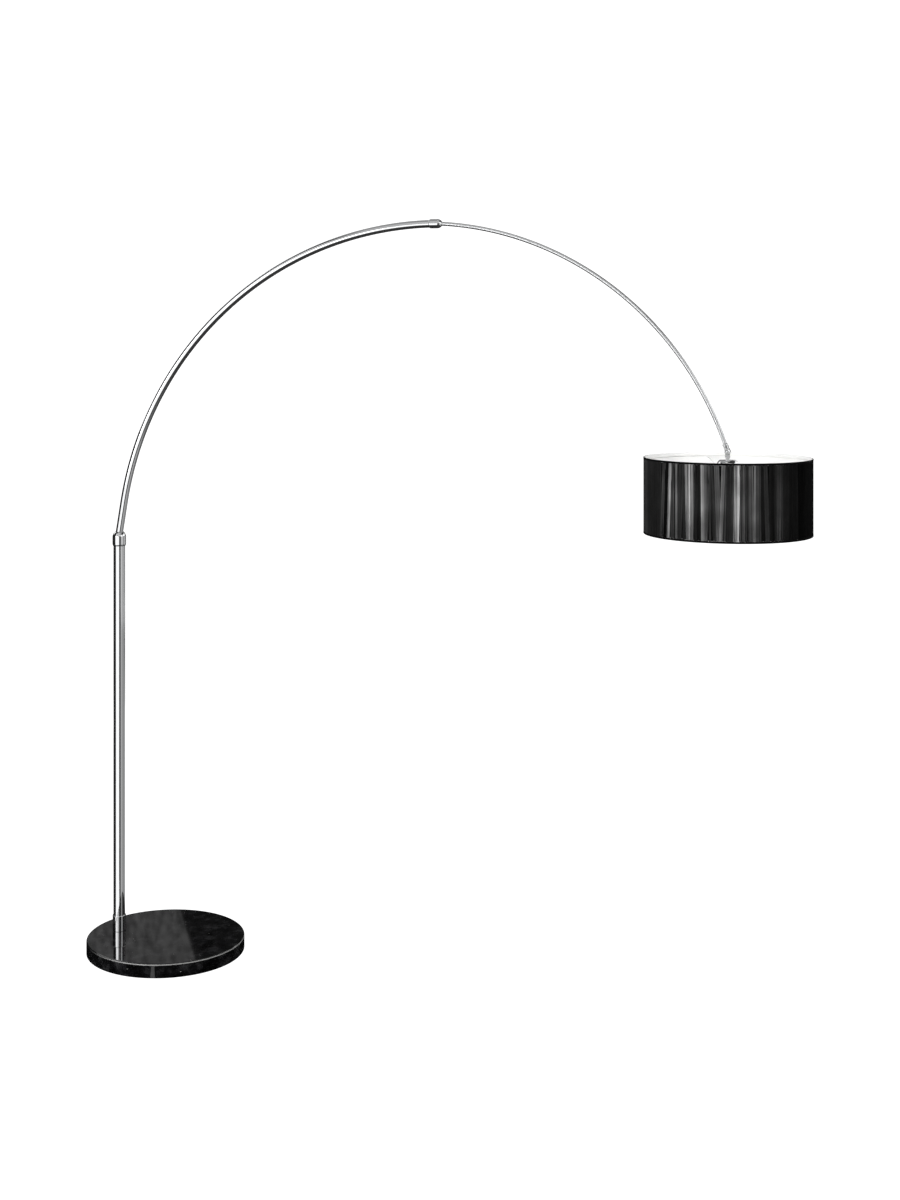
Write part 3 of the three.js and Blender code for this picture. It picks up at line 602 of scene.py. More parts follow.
neck = {"foot": 0.3, "chamfer": 0.4, "cone": 4, "coneIn": 1.4, "sunk": 1}
halfWidth = knuckle["width"] / 2
neckTop = knuckle["drop"] - neck["sunk"]
atFork = Matrix.Translation((0, 0, knuckle["drop"] * mm))
neckShape = spun([(0, neck["foot"]), (halfWidth - neck["chamfer"], neck["foot"]),
                  (halfWidth, neck["foot"] + neck["chamfer"]), (halfWidth, neckTop - neck["cone"]),
                  (halfWidth - neck["coneIn"], neckTop), (0, neckTop)], 64)
cheeks = moved(pebble(knuckle["radius"], halfWidth, knuckle["round"]), across(atFork))
forkShape = carved(neckShape, [cheeks], "UNION")
slotDepth = knuckle["drop"] + knuckle["radius"] + 1 - knuckle["slotTop"]
slotSpot = Matrix.Translation((0, 0, (knuckle["slotTop"] + slotDepth / 2) * mm))
forkShape = carved(forkShape, [
    block((knuckle["cut"], knuckle["slot"], slotDepth), slotSpot),
    bar(knuckle["hole"], knuckle["cut"], across(atFork)),
    bar(knuckle["wireHole"], knuckle["cut"] / 2, Matrix())])
piece("knuckleFork", moved(forkShape, atTip), "upper_arm", chrome, ["knuckle_fork"])

screw = {"radius": 2, "head": 3.5, "headHeight": 2.2, "headRound": 1.5, "headRim": 0.7, "headFlat": 1.2,
         "headFace": -7.1, "end": 11.7, "sunk": 0.4, "point": 0.5, "socket": 1.15, "socketUp": 2.4,
         "socketCut": 3}
headShape = spun([(0, 0), (screw["head"], 0)]
                 + arc((screw["head"] - screw["headRound"], screw["headRim"]), screw["headRound"], 0, 68, 6)
                 + [(screw["headFlat"], screw["headHeight"]), (0, screw["headHeight"])], 48)
headShape = carved(headShape, [bar(screw["socket"] / math.cos(math.pi / 6), screw["socketCut"],
                                   Matrix.Translation((0, 0, screw["socketUp"] * mm)), 6)])
shankEnd = screw["end"] - screw["headFace"]
shankShape = spun([(0, -screw["sunk"]), (screw["radius"], -screw["sunk"]),
                   (screw["radius"], shankEnd - screw["point"]),
                   (screw["radius"] - screw["point"], shankEnd), (0, shankEnd)], 32)
screwFace = across(atPivot, screw["headFace"])
screwShape = carved(moved(headShape, screwFace @ Matrix.Rotation(math.pi, 4, "X")),
                    [moved(shankShape, screwFace)], "UNION")
piece("tiltScrew", screwShape, "upper_arm", chrome, ["tilt_screw"])

washer = {"radius": 4, "thick": 0.8, "face": 7.1, "edge": 0.15}
nut = {"flats": 7, "thick": 3.2, "face": 8.2}
washerShape = spun([(knuckle["hole"], 0), (washer["radius"], 0), (washer["radius"], washer["thick"]),
                    (knuckle["hole"], washer["thick"])], 48, across(atPivot, washer["face"]), washer["edge"])
piece("tiltWasher", washerShape, "upper_arm", zinc, ["tilt_washer"])


def hexNut(acrossFlats, thickness, hole, where):
    # a six-sided nut with its corners turned off
    corner = acrossFlats / math.sqrt(3)
    blank = bar(corner, thickness, Matrix.Translation((0, 0, thickness / 2 * mm)), 6)
    turned = spun([(0, -0.1), (acrossFlats / 2 - 0.2, -0.1), (corner + 0.3, 0.9),
                   (corner + 0.3, thickness - 0.9),
                   (acrossFlats / 2 - 0.2, thickness + 0.1), (0, thickness + 0.1)], 48)
    blank = carved(blank, [turned], "INTERSECT")
    return moved(carved(blank, [bar(hole, thickness * 3, Matrix(), 32)]), where)


piece("tiltNut", hexNut(nut["flats"], nut["thick"], knuckle["hole"], across(atPivot, nut["face"])),
      "upper_arm", zinc, ["tilt_nut"])

tongue = {"clear": 0.3, "round": 0.5, "neckFoot": 10.6, "footRadius": 6.5, "footHeight": 3.4,
          "footRound": 0.5, "topRound": 1.2, "shank": 11, "shankDown": 5.6, "shankEdge": 0.4}
tongueHalf = knuckle["slot"] / 2 - tongue["clear"]
tongueFoot = -tongue["neckFoot"] - tongue["footHeight"]
footShape = spun([(0, tongueFoot)]
                 + arc((tongue["footRadius"] - tongue["footRound"], tongueFoot + tongue["footRound"]),
                       tongue["footRound"], -90, 0, 3)
                 + arc((tongue["footRadius"] - tongue["topRound"], -tongue["neckFoot"] - tongue["topRound"]),
                       tongue["topRound"], 0, 90, 5)
                 + [(0, -tongue["neckFoot"])], 64)
tongueShape = carved(footShape, [
    moved(pebble(knuckle["radius"], tongueHalf, tongue["round"]), across(Matrix())),
    block((tongue["shank"], 2 * tongueHalf, tongue["shank"]),
          Matrix.Translation((0, 0, -tongue["shankDown"] * mm)), tongue["shankEdge"])], "UNION")
tongueShape = carved(tongueShape, [bar(knuckle["hole"], knuckle["cut"], across(Matrix()))])
piece("knuckleTongue", moved(tongueShape, atPivot), "shade_head", chrome, ["knuckle_tongue"])
print("knuckle made")

# stem, cup and lampholder, all measured from the pivot

stem = {"radius": 5, "bore": 3.5, "length": 22, "hole": 5.3, "gap": 0.3, "edge": 0.2}
stemNut = {"flats": 14, "thick": 3, "foot": -23.5}
cup = {"top": -19.0, "crown": 19, "crownRound": 1.6, "radius": 25, "shoulder": 9, "height": 33, "wall": 1.2,
       "swell": 0.7, "chamfer": 0.3}
stemTop = tongueFoot - stem["gap"]


def pivoted(name, profile, material, stands, sides=96, soften=0.0):
    # a turned piece of the shade head, its heights measured from the pivot
    return piece(name, spun(profile, sides, atPivot, soften), "shade_head", material, stands)


pivoted("stemTube", [(stem["bore"], stemTop - stem["length"]), (stem["radius"], stemTop - stem["length"]),
                     (stem["radius"], stemTop), (stem["bore"], stemTop)],
        chrome, ["stem_tube"], 64, stem["edge"])
cupFoot = cup["top"] - cup["height"]
cupLow = cup["top"] - cup["shoulder"]
pivoted("socketCup",
        [(stem["hole"], cup["top"]), (cup["crown"] - cup["crownRound"], cup["top"])]
        + swelled((cup["radius"], cupLow), (cup["crown"], cup["top"] - 0.7), cup["swell"], 8)[::-1]
        + [(cup["radius"], cupFoot + cup["chamfer"]), (cup["radius"] - cup["chamfer"], cupFoot),
           (cup["radius"] - cup["wall"] + cup["chamfer"], cupFoot),
           (cup["radius"] - cup["wall"], cupFoot + cup["chamfer"]),
           (cup["radius"] - cup["wall"], cupLow - 0.4),
           (cup["crown"] - 0.6, cup["top"] - cup["wall"]), (stem["hole"], cup["top"] - cup["wall"])],
        chrome, ["socket_cup"], 128)
stemNutSpot = atPivot @ Matrix.Translation((0, 0, stemNut["foot"] * mm))
piece("stemNut", hexNut(stemNut["flats"], stemNut["thick"], stem["hole"], stemNutSpot), "shade_head", zinc,
      ["stem_nut"])

holder = {"top": -23.8, "split": -45.8, "foot": -81.8, "cap": 17.5, "capRound": 6, "wall": 2.2, "skirt": 20,
          "throat": 14.3, "pitch": 3, "depth": 0.45, "chamfer": 0.4, "seam": 0.3}
contact = {"block": 14.5, "blockFoot": -45.5, "blockTop": -38.5, "edge": 0.4, "tab": (9, 5, 0.8),
           "tabZ": -47.5, "tabEdge": 0.2}
pivoted("holderCap",
        [(stem["hole"], holder["top"])]
        + arc((holder["cap"] - holder["capRound"], holder["top"] - holder["capRound"]), holder["capRound"],
              90, 0, 8)
        + [(holder["cap"], holder["split"] + holder["chamfer"]),
           (holder["cap"] - holder["chamfer"], holder["split"]),
           (holder["cap"] - holder["wall"], holder["split"]),
           (holder["cap"] - holder["wall"], holder["top"] - holder["wall"] - 3),
           (stem["hole"], holder["top"] - holder["wall"] - 1)], phenolic, ["holder_cap"])


def ribbed(radius, foot, top, pitch, depth):
    # a moulded round thread, drawn as rings, up the outside of a sleeve
    points = []
    rings = int((top - foot) / pitch)
    steps = 6
    for i in range(rings * steps + 1):
        wave = 0.5 + 0.5 * math.cos(math.tau * i / steps)
        points.append((radius - depth * wave, foot + pitch * i / steps))
    return points


pivoted("holderSkirt",
        [(holder["throat"], holder["foot"] + 0.5), (holder["throat"] + 0.5, holder["foot"]),
         (holder["skirt"] - 1, holder["foot"])]
        + ribbed(holder["skirt"], holder["foot"] + 1, holder["split"] - 1.2, holder["pitch"], holder["depth"])
        + [(holder["skirt"] - 0.5, holder["split"] - holder["seam"]),
           (holder["throat"], holder["split"] - holder["seam"])],
        phenolic, ["holder_skirt"])
pivoted("contactBlock", [(0, contact["blockFoot"]), (contact["block"], contact["blockFoot"]),
                         (contact["block"], contact["blockTop"]), (0, contact["blockTop"])],
        steatite, ["contact_block"], 64, contact["edge"])

shell = {"radius": 14, "wall": 0.7, "foot": -68.1, "top": -46.1, "pitch": 3.6, "depth": 0.6}
shellOuter = ribbed(shell["radius"], shell["foot"] + 0.1, shell["top"] - 0.1, shell["pitch"], shell["depth"])
pivoted("screwShell", shellOuter + [(r - shell["wall"], z) for r, z in reversed(shellOuter)], brass,
        ["screw_shell"], 64)
tab = block(contact["tab"], atPivot @ Matrix.Translation((0, 0, contact["tabZ"] * mm)), contact["tabEdge"])
piece("centreContact", tab, "shade_head", brass, ["centre_contact"])

bulb = {"cap": 12.8, "capFoot": -73.1, "capTop": -49.1, "capEdge": 0.3, "globe": 30, "glassFoot": -151.4,
        "glassTop": -73.4, "neck": 12.5, "neckHeight": 8, "flare": 130}
pivoted("bulbCap",
        [(0, bulb["capFoot"]), (bulb["cap"] - bulb["capEdge"], bulb["capFoot"]),
         (bulb["cap"], bulb["capFoot"] + bulb["capEdge"])]
        + ribbed(bulb["cap"], bulb["capFoot"] + 3, bulb["capTop"] - 3.4, shell["pitch"], shell["depth"])
        + [(bulb["cap"] - 1, bulb["capTop"] - 3), (bulb["cap"] - 4, bulb["capTop"] - 0.8),
           (3.5, bulb["capTop"] - 0.8), (3.2, bulb["capTop"] - 0.1), (0, bulb["capTop"])],
        zinc, ["bulb_cap"], 64)
# the glass: a globe up to the flare, then an eased run in to the neck
globeCentre = bulb["glassFoot"] + bulb["globe"]
glass = [(bulb["globe"] * math.sin(a), globeCentre - bulb["globe"] * math.cos(a))
         for a in (math.radians(bulb["flare"] * i / 40) for i in range(41))]
glass[0] = (0, bulb["glassFoot"])
flareFoot, neckFoot = glass[-1], (bulb["neck"], bulb["glassTop"] - bulb["neckHeight"])
for i in range(1, 9):
    t = i / 9
    ease = t * t * (3 - 2 * t)
    glass.append((flareFoot[0] + (neckFoot[0] - flareFoot[0]) * (0.75 * t + 0.25 * ease),
                  flareFoot[1] + (neckFoot[1] - flareFoot[1]) * t))
pivoted("bulbGlass", glass + [neckFoot, (bulb["neck"], bulb["glassTop"]), (0, bulb["glassTop"])],
        opal, ["bulb_glass"])
print("lampholder made")

# the shade: spider, wire rings, liner, strings and trims, measured from the pivot

drum = {"radius": 192.4, "top": -13.2, "height": 176.4, "trim": 4.5, "trimThick": 2.1, "trimRound": 0.9,
        "trimGap": 0.3, "liner": 1.1, "linerEdge": 0.25, "wire": 1.6, "wireInset": 7.5, "wireGap": 0.3}
spider = {"inner": 20.5, "outer": 24.5, "foot": -55.2, "top": -53.2, "edge": 0.5, "wire": 1.5,
          "wireRound": 0.5, "first": 112, "arms": 3, "innerGap": 0.3, "outerGap": 0.7}
drumFoot = drum["top"] - drum["height"]
linerOuter = drum["radius"] - drum["trimThick"]
linerInner = linerOuter - drum["liner"]
wireRing = linerInner - drum["wireGap"] - drum["wire"]

pivoted("spiderHub", [(spider["inner"], spider["foot"]), (spider["outer"], spider["foot"]),
                      (spider["outer"], spider["top"]), (spider["inner"], spider["top"])],
        enamel, ["spider_hub"], 96, spider["edge"])
armFrom = Vector((spider["outer"] + spider["innerGap"], 0, (spider["foot"] + spider["top"]) / 2))
armTo = Vector((wireRing - drum["wire"] - spider["outerGap"], 0, drum["top"] - drum["wireInset"]))
armRun = armTo - armFrom
armAim = Vector((0, 0, 1)).rotation_difference(armRun).to_matrix().to_4x4()
armHalf = armRun.length / 2
wireEnd = spider["wireRound"]
for i in range(spider["arms"]):
    turn = Matrix.Rotation(math.radians(spider["first"] + i * 360 / spider["arms"]), 4, "Z")
    armShape = spun([(0, -armHalf)] + arc((spider["wire"] - wireEnd, wireEnd - armHalf), wireEnd, -90, 0, 3)
                    + arc((spider["wire"] - wireEnd, armHalf - wireEnd), wireEnd, 0, 90, 3)
                    + [(0, armHalf)], 24)
    moved(armShape, atPivot @ turn @ Matrix.Translation((armFrom + armTo) / 2 * mm) @ armAim)
    piece("spiderArm" + str(i + 1), armShape, "shade_head", enamel,
          ["spider_arm_" + str(i + 1)])

for name, cadName, z in (("topWireRing", "top_wire_ring", drum["top"] - drum["wireInset"]),
                         ("bottomWireRing", "bottom_wire_ring", drumFoot + drum["wireInset"])):
    pivoted(name, arc((wireRing, z), drum["wire"], 0, 345, 23), enamel, [cadName], 192)

# the two ring nuts, which clamp the hub and have finger grips round their rims
nutRing = {"upper": 22.3, "lower": 24, "height": 5, "grips": 20, "gripDepth": 0.5, "chamfer": 0.5, "gap": 0.3}
upperFoot = spider["top"] + nutRing["gap"]
lowerFoot = spider["foot"] - nutRing["gap"] - nutRing["height"]
for name, cadName, radius, foot in (("ringNutUpper", "ring_nut_upper", nutRing["upper"], upperFoot),
                                    ("ringNutLower", "ring_nut_lower", nutRing["lower"], lowerFoot)):
    face, chamfer = foot + nutRing["height"], nutRing["chamfer"]
    ringShape = spun([(spider["inner"], foot), (radius - chamfer, foot), (radius, foot + chamfer),
                      (radius, face - chamfer), (radius - chamfer, face), (spider["inner"], face)],
                     nutRing["grips"] * 8)
    for v in ringShape.verts:
        flat = math.hypot(v.co.x, v.co.y)
        if flat > (radius - chamfer - 0.1) * mm:
            wave = 0.5 + 0.5 * math.cos(nutRing["grips"] * math.atan2(v.co.y, v.co.x))
            v.co.x -= v.co.x / flat * nutRing["gripDepth"] * wave * mm
            v.co.y -= v.co.y / flat * nutRing["gripDepth"] * wave * mm
    piece(name, moved(ringShape, atPivot), "shade_head", phenolic, [cadName])

pivoted("shadeLiner", [(linerInner, drumFoot), (linerOuter, drumFoot), (linerOuter, drum["top"]),
                       (linerInner, drum["top"])], pvc, ["shade_liner"], 256,
        drum["linerEdge"])
lip, trimInner = drum["trimRound"], linerOuter + drum["trimGap"]
for name, cadName, foot in (("topTrim", "top_trim", drum["top"] - drum["trim"]),
                            ("bottomTrim", "bottom_trim", drumFoot)):
    pivoted(name, [(trimInner, foot)] + arc((drum["radius"] - lip, foot + lip), lip, -90, 0, 4)
            + arc((drum["radius"] - lip, foot + drum["trim"] - lip), lip, 0, 90, 4)
            + [(trimInner, foot + drum["trim"])], trimTape, [cadName], 256)

# the strings: millimetres, degrees for the middle, and what chance decides from string to string
strings = {"count": 780, "radius": 191.3, "thick": 1.5, "tuck": 1.4, "middle": -83.7, "sides": 8,
           "backing": 190.7, "backingHalf": 0.1, "backingInset": 5,
           "seed": 11, "groupSize": (3, 14), "backShades": (0.02, 0.05, 0.1, 0.2, 0.4, 0.7), "backLean": 1.6,
           "carry": 0.45, "variety": (0.45, 1.5), "strayLean": 0.7, "strayOut": 0.12}
# groups of like strings round the front: where each starts, in degrees from the middle, a shade from black to
# smoke with painted sheen and painted side shade in it, and how far the group's strings lean at their ends,
# in millimetres
frontSheenGroups = (
    (-90, 0.18, 0), (-70, 0.09, 0), (-50, 0.26, 5), (-46.5, 0.02, 3), (-43.5, 0.54, 3), (-40.5, 0.26, 1),
    (-38, 0.12, 0), (-36.5, 0.46, 0), (-34.5, 0.16, 2), (-32.5, 0.18, 4), (-30.5, 0.13, 1), (-28.5, 0.64, -1),
    (-26, 0.78, 0), (-23.3, 0.36, 1), (-22, 0.12, 0), (-17.8, 0.72, -1), (-15.4, 0.46, 0), (-12.6, 0.26, -1),
    (-10.6, 0.24, -4), (-7.8, 0.52, -3), (-4.8, 0.58, 3), (-2.4, 0.36, 1), (-1, 0.18, 0), (2.8, 0.34, 1),
    (4, 0.70, 1), (7.9, 0.34, 0), (11, 0.20, 0), (14, 0.32, -1), (16.8, 0.38, 0), (20.6, 0.24, 0),
    (22, 0.05, 0), (24.5, 0.18, -3), (27.5, 0.06, 1), (31.5, 0.14, -2), (33.5, 0.26, 0), (38.5, 0.09, 1),
    (44, 0.05, 0), (53, 0.01, 0), (90, None, 0))
dice = random.Random(strings["seed"])


def groupedShades(count):
    # every string's shade and lean: the front groups as set, and the rest in groups at random
    found = []
    group, left, level, lean, strand = None, 0, 0.0, 0.0, 1.0
    middle = math.radians(strings["middle"])
    for i in range(count):
        degrees = math.degrees(math.remainder(math.tau * i / count - middle, math.tau))
        started = [g for g in frontSheenGroups if g[0] <= degrees]
        current = started[-1] if started and started[-1][1] is not None else None
        if current != group or (current is None and left == 0):
            group = current
            left = dice.randint(*strings["groupSize"])
            level = current[1] if current else dice.choice(strings["backShades"])
            lean = current[2] if current else dice.gauss(0, strings["backLean"])
        left = max(0, left - 1)
        strand = strings["carry"] * strand + (1 - strings["carry"]) * dice.uniform(*strings["variety"])
        found.append((level * strand, lean + dice.gauss(0, strings["strayLean"])))
    return found


# a thin dark backing behind the strings, so that no light shows between them
backIn, backOut = strings["backing"] - strings["backingHalf"], strings["backing"] + strings["backingHalf"]
backFoot, backTop = drumFoot + strings["backingInset"], drum["top"] - strings["backingInset"]
stringShape = spun([(backIn, backFoot), (backOut, backFoot), (backOut, backTop), (backIn, backTop)], 256,
                   atPivot)
# each string's grey, with its painted sheen and shade, goes on its points as an attribute
toneAndSheenLayer = stringShape.verts.layers.float.new("stringToneAndSheen")
for i, (shade, fan) in enumerate(groupedShades(strings["count"])):
    angle = math.tau * i / strings["count"]
    radius = (strings["radius"] + dice.uniform(-strings["strayOut"], strings["strayOut"])) * mm
    ends = []
    for z, slide in ((drumFoot + strings["tuck"], -fan * mm), (drum["top"] - strings["tuck"], fan * mm)):
        a = angle + slide / radius
        ends.append(Vector((pivotX * mm + radius * math.cos(a), radius * math.sin(a), (pivotZ + z) * mm)))
    run = ends[1] - ends[0]
    turn = Vector((0, 0, 1)).rotation_difference(run).to_matrix().to_4x4()
    halfThick = strings["thick"] / 2 * mm
    made = bmesh.ops.create_cone(stringShape, cap_ends=True, segments=strings["sides"], radius1=halfThick,
                                 radius2=halfThick, depth=run.length,
                                 matrix=Matrix.Translation((ends[0] + ends[1]) / 2) @ turn)
    for v in made["verts"]:
        v[toneAndSheenLayer] = min(1.0, max(0.0, shade))
piece("shadeStrings", stringShape, "shade_head", string, ["shade_strings"], smooth=60)
print("shade made")

# fixings: the tie through the marble, the cord's way out, grub screws, plugs and bushes

tie = {"radius": 5, "bore": 3.5, "foot": 8.2, "top": 63.6, "pitch": 1.25, "depth": 0.5, "washer": 16,
       "washerFoot": 15.5, "washerTop": 18.0, "washerEdge": 0.4, "nutFlats": 17, "nutThick": 6,
       "nutFoot": 9.2, "hole": 5.3, "plug": 24, "plugGap": 0.3, "plugEdge": 0.5}


def onPost(name, profile, body, material, stands, sides=96, soften=0.0):
    # a turned piece round the post's own middle
    return piece(name, spun(profile, sides, alongPost(0), soften), body, material, stands)


def sleeve(inner, outer, foot, top):
    # a plain ring's profile
    return [(inner, foot), (outer, foot), (outer, top), (inner, top)]


onPost("anchorStud", [(tie["bore"], tie["foot"])]
       + ribbed(tie["radius"], tie["foot"] + 0.3, tie["top"] - 1, tie["pitch"], tie["depth"])
       + [(tie["bore"], tie["top"])], "stand", zinc, ["anchor_stud"], 48)
onPost("anchorWasher", sleeve(tie["hole"], tie["washer"], tie["washerFoot"], tie["washerTop"]),
       "stand", zinc, ["anchor_washer"], 64, tie["washerEdge"])
piece("anchorNut", hexNut(tie["nutFlats"], tie["nutThick"], tie["hole"], alongPost(tie["nutFoot"])),
      "stand", zinc, ["anchor_nut"])
onPost("postFootPlug",
       sleeve(tie["hole"], post["bore"] - tie["plugGap"], post["foot"], post["foot"] + tie["plug"]),
       "stand", zinc, ["post_foot_plug"], 64, tie["plugEdge"])

# the grommet: a rubber block under the slab's edge, with the cord's hole from inside and a ring on its face
grommet = {"outside": -198.4, "length": 12, "half": 4.2, "foot": 2.3, "top": 11.0, "edge": 0.5, "hole": 3,
           "skin": 1, "ring": 2.4, "ringHole": 1.8}


def outFromEdge(x):
    # a spot on the grommet's middle line, with its +Z along X
    up = (grommet["foot"] + grommet["top"]) / 2
    return Matrix.Translation((x * mm, 0, up * mm)) @ Matrix.Rotation(math.pi / 2, 4, "Y")


halfLength = grommet["length"] / 2
grommetShape = block((grommet["top"] - grommet["foot"], 2 * grommet["half"], grommet["length"]),
                     outFromEdge(grommet["outside"] + halfLength), grommet["edge"])
ringGroove = carved(bar(grommet["ring"], 1, outFromEdge(grommet["outside"])),
                    [bar(grommet["ringHole"], 2, outFromEdge(grommet["outside"]))])
cordHole = bar(grommet["hole"], grommet["length"],
               outFromEdge(grommet["outside"] + grommet["skin"] + halfLength))
piece("cordGrommet", carved(grommetShape, [cordHole, ringGroove]), "stand", rubber,
      ["cord_grommet"])


def grub(name, inner, outer, where, body, stands):
    # a socket grub screw along the piece's +Y, with a chamfered flat point
    wide, edge = grubScrew["radius"], grubScrew["edge"]
    shape = spun([(0, inner), (grubScrew["point"], inner), (wide, inner + grubScrew["pointChamfer"]),
                  (wide, outer - edge), (wide - edge, outer), (0, outer)], 32)
    socket = bar(grubScrew["socket"], 5, Matrix.Translation((0, 0, outer * mm)), 6)
    piece(name, moved(carved(shape, [socket]), where @ sideways), body, zinc, stands)


grub("capGrubScrew", 10.1, 17.2, alongPost(cap["screwZ"]), "swivel_collar", ["cap_grub_screw"])
grubSpot = Matrix.Translation((0, 0, (collar["shoulder"] + collar["grubUp"]) * mm))
grub("bowGrubScrew", 5.8, 11.2, atBowEnd @ grubSpot, "lower_arm", ["bow_grub_screw"])

# nylon: the cap's bush, the guide on the tail, the bow collar's bush and the guide on the thin tube
capBush = {"bore": 10, "radius": 13.2, "length": 30, "flange": 15, "flangeThick": 2, "gap": 0.3, "edge": 0.2}
guide = {"bore": 9.8, "radius": 13, "length": 24, "edge": 0.6}
bowBush = {"bore": 5.5, "radius": 7.5, "length": 14, "flange": 9.5, "flangeThick": 1.8, "gap": 0.3,
           "edge": 0.2}
slide = {"bore": 5.3, "radius": 7.1, "half": 7, "edge": 0.3}


def flangedBush(sizes, top):
    # a bush's profile that hangs below the top of its tube, with its flange just above
    flangeFoot = top + sizes["gap"]
    flangeTop = flangeFoot + sizes["flangeThick"]
    return [(sizes["bore"], top - sizes["length"]), (sizes["radius"], top - sizes["length"]),
            (sizes["radius"], flangeFoot), (sizes["flange"], flangeFoot), (sizes["flange"], flangeTop),
            (sizes["bore"], flangeTop)]


onPost("capBush", flangedBush(capBush, post["top"]), "swivel_collar", nylon, ["cap_bush"], 96,
       capBush["edge"])
onPost("tailGuide", sleeve(guide["bore"], guide["radius"], bow["tailFoot"],
                           bow["tailFoot"] + guide["length"]),
       "lower_arm", nylon, ["tail_guide"], 96, guide["edge"])
piece("bowBush", spun(flangedBush(bowBush, 0), 96, atBowEnd, bowBush["edge"]), "lower_arm", nylon,
      ["bow_bush"])
guideTurn = innerHeading + slide["half"] / bow["radius"]
guideSpot = place((centreX - bow["radius"] * math.cos(guideTurn)) * mm,
                  (centreZ + bow["radius"] * math.sin(guideTurn)) * mm, guideTurn)
slideShape = spun(sleeve(slide["bore"], slide["radius"], -slide["half"], slide["half"]), 64, guideSpot,
                  slide["edge"])
piece("slideGuide", slideShape, "upper_arm", nylon, ["slide_guide"])

# the flex: one length each in the post, the two arms and the stem, from its start along its legs
flex = {"radius": 2.4, "bore": 1.1, "foot": 2.6, "gap": 0.3, "shortOfSlide": 14, "belowPivot": 38.2}
lowerCurve = math.radians(bow["sweep"]) - (bow["engaged"] + flex["shortOfSlide"]) / bow["radius"]
leads = (("leadPost", "stand", "lead_post", (postX, flex["foot"], 0.0),
          [(bow["tailFoot"] - flex["gap"] - flex["foot"], 0)]),
         ("leadLower", "lower_arm", "lead_lower", tailFoot,
          lowerLegs[:3] + [curveLeg(bow["radius"], lowerCurve)]),
         ("leadUpper", "upper_arm", "lead_upper", innerStart, upperLegs),
         ("leadHead", "shade_head", "lead_head", (pivotX, pivotZ - flex["belowPivot"], 0.0),
          [(flex["belowPivot"] + stemTop - flex["gap"], 0)]))
for name, body, cadName, start, legs in leads:
    leadShape, _ = bentTube(start, legs, flex["radius"], flex["bore"], sides=16, degreesEach=1.5)
    piece(name, leadShape, body, sheath, [cadName])
print("fixings made")

# the studio: paper, daylight, three softboxes, and cards that only the mirrors see

room = {"paper": 40, "middle": 0.55, "daylight": 0.32, "white": 1.25, "paperGlow": 1.3, "glowShare": 0.9}


def seenAsWhite(tree):
    # 1 where the eye looks straight at the paper, or at it in a mirror or through glass
    path = node(tree, "ShaderNodeLightPath")
    seen = node(tree, "ShaderNodeMath", {"operation": "MAXIMUM"},
                {0: path.outputs["Is Camera Ray"], 1: path.outputs["Is Glossy Ray"]})
    seen = node(tree, "ShaderNodeMath", {"operation": "MAXIMUM"},
                {0: seen.outputs[0], 1: path.outputs["Is Transmission Ray"]})
    return seen.outputs[0]


def paperWhite():
    # seamless white paper: white to the eye, and it keeps the lamp's soft shadow
    material, tree, shader = newMaterial("seamlessPaper", {
        "Base Color": linear("#f4f4f4"), "Roughness": 0.9, "Specular IOR Level": 0.0})
    glow = node(tree, "ShaderNodeEmission", {"Strength": room["paperGlow"]})
    share = node(tree, "ShaderNodeMath", {"operation": "MULTIPLY", 1: room["glowShare"]},
                 {0: seenAsWhite(tree)})
    mixed = node(tree, "ShaderNodeMixShader",
                 links={0: share.outputs[0], 1: shader.outputs[0], 2: glow.outputs[0]})
    tree.links.new(mixed.outputs[0], tree.nodes["Material Output"].inputs["Surface"])
    return material


paper = bmesh.new()
bmesh.ops.create_grid(paper, x_segments=1, y_segments=1, size=room["paper"] / 2)
floor = bpy.data.objects.new("floor", meshOf(paper, "floor"))
floor.data.materials.append(paperWhite())
bpy.context.scene.collection.objects.link(floor)

world = bpy.data.worlds.new("studioWorld")
bpy.context.scene.world = world
world.use_nodes = True
air = world.node_tree
level = node(air, "ShaderNodeMapRange", {"To Min": room["daylight"], "To Max": room["white"]},
             {"Value": seenAsWhite(air)})
air.links.new(level.outputs["Result"], air.nodes["Background"].inputs["Strength"])
air.nodes["Background"].inputs["Color"].default_value = (1, 1, 1, 1)


def softbox(name, size, spot, aim, power):
    # sizes and spots in metres, power in watts
    light = bpy.data.lights.new(name, "AREA")
    light.shape = "RECTANGLE"
    light.size, light.size_y = size
    light.energy = power
    lamp = bpy.data.objects.new(name, light)
    lamp.location = spot
    lamp.rotation_euler = (Vector(aim) - Vector(spot)).to_track_quat("-Z", "Y").to_euler()
    lamp.visible_glossy = False
    bpy.context.scene.collection.objects.link(lamp)


def studio(right, back, up):
    # a spot in the room as the camera sees it, in metres from the floor below the middle of the bow
    turn = math.radians(view["turn"])
    return (room["middle"] + right * math.cos(turn) - back * math.sin(turn),
            right * math.sin(turn) + back * math.cos(turn), up)


softbox("keySoftbox", (1.6, 2.0), studio(-2.6, -2.9, 2.3), studio(0.3, 0, 1.1), 96)
softbox("fillSoftbox", (1.4, 0.8), studio(-0.3, -4.4, 2.7), studio(0.6, 0, 1.2), 66)
softbox("sideSoftbox", (0.7, 0.5), studio(2.4, -0.7, 2.5), studio(0.75, 0, 1.3), 16)


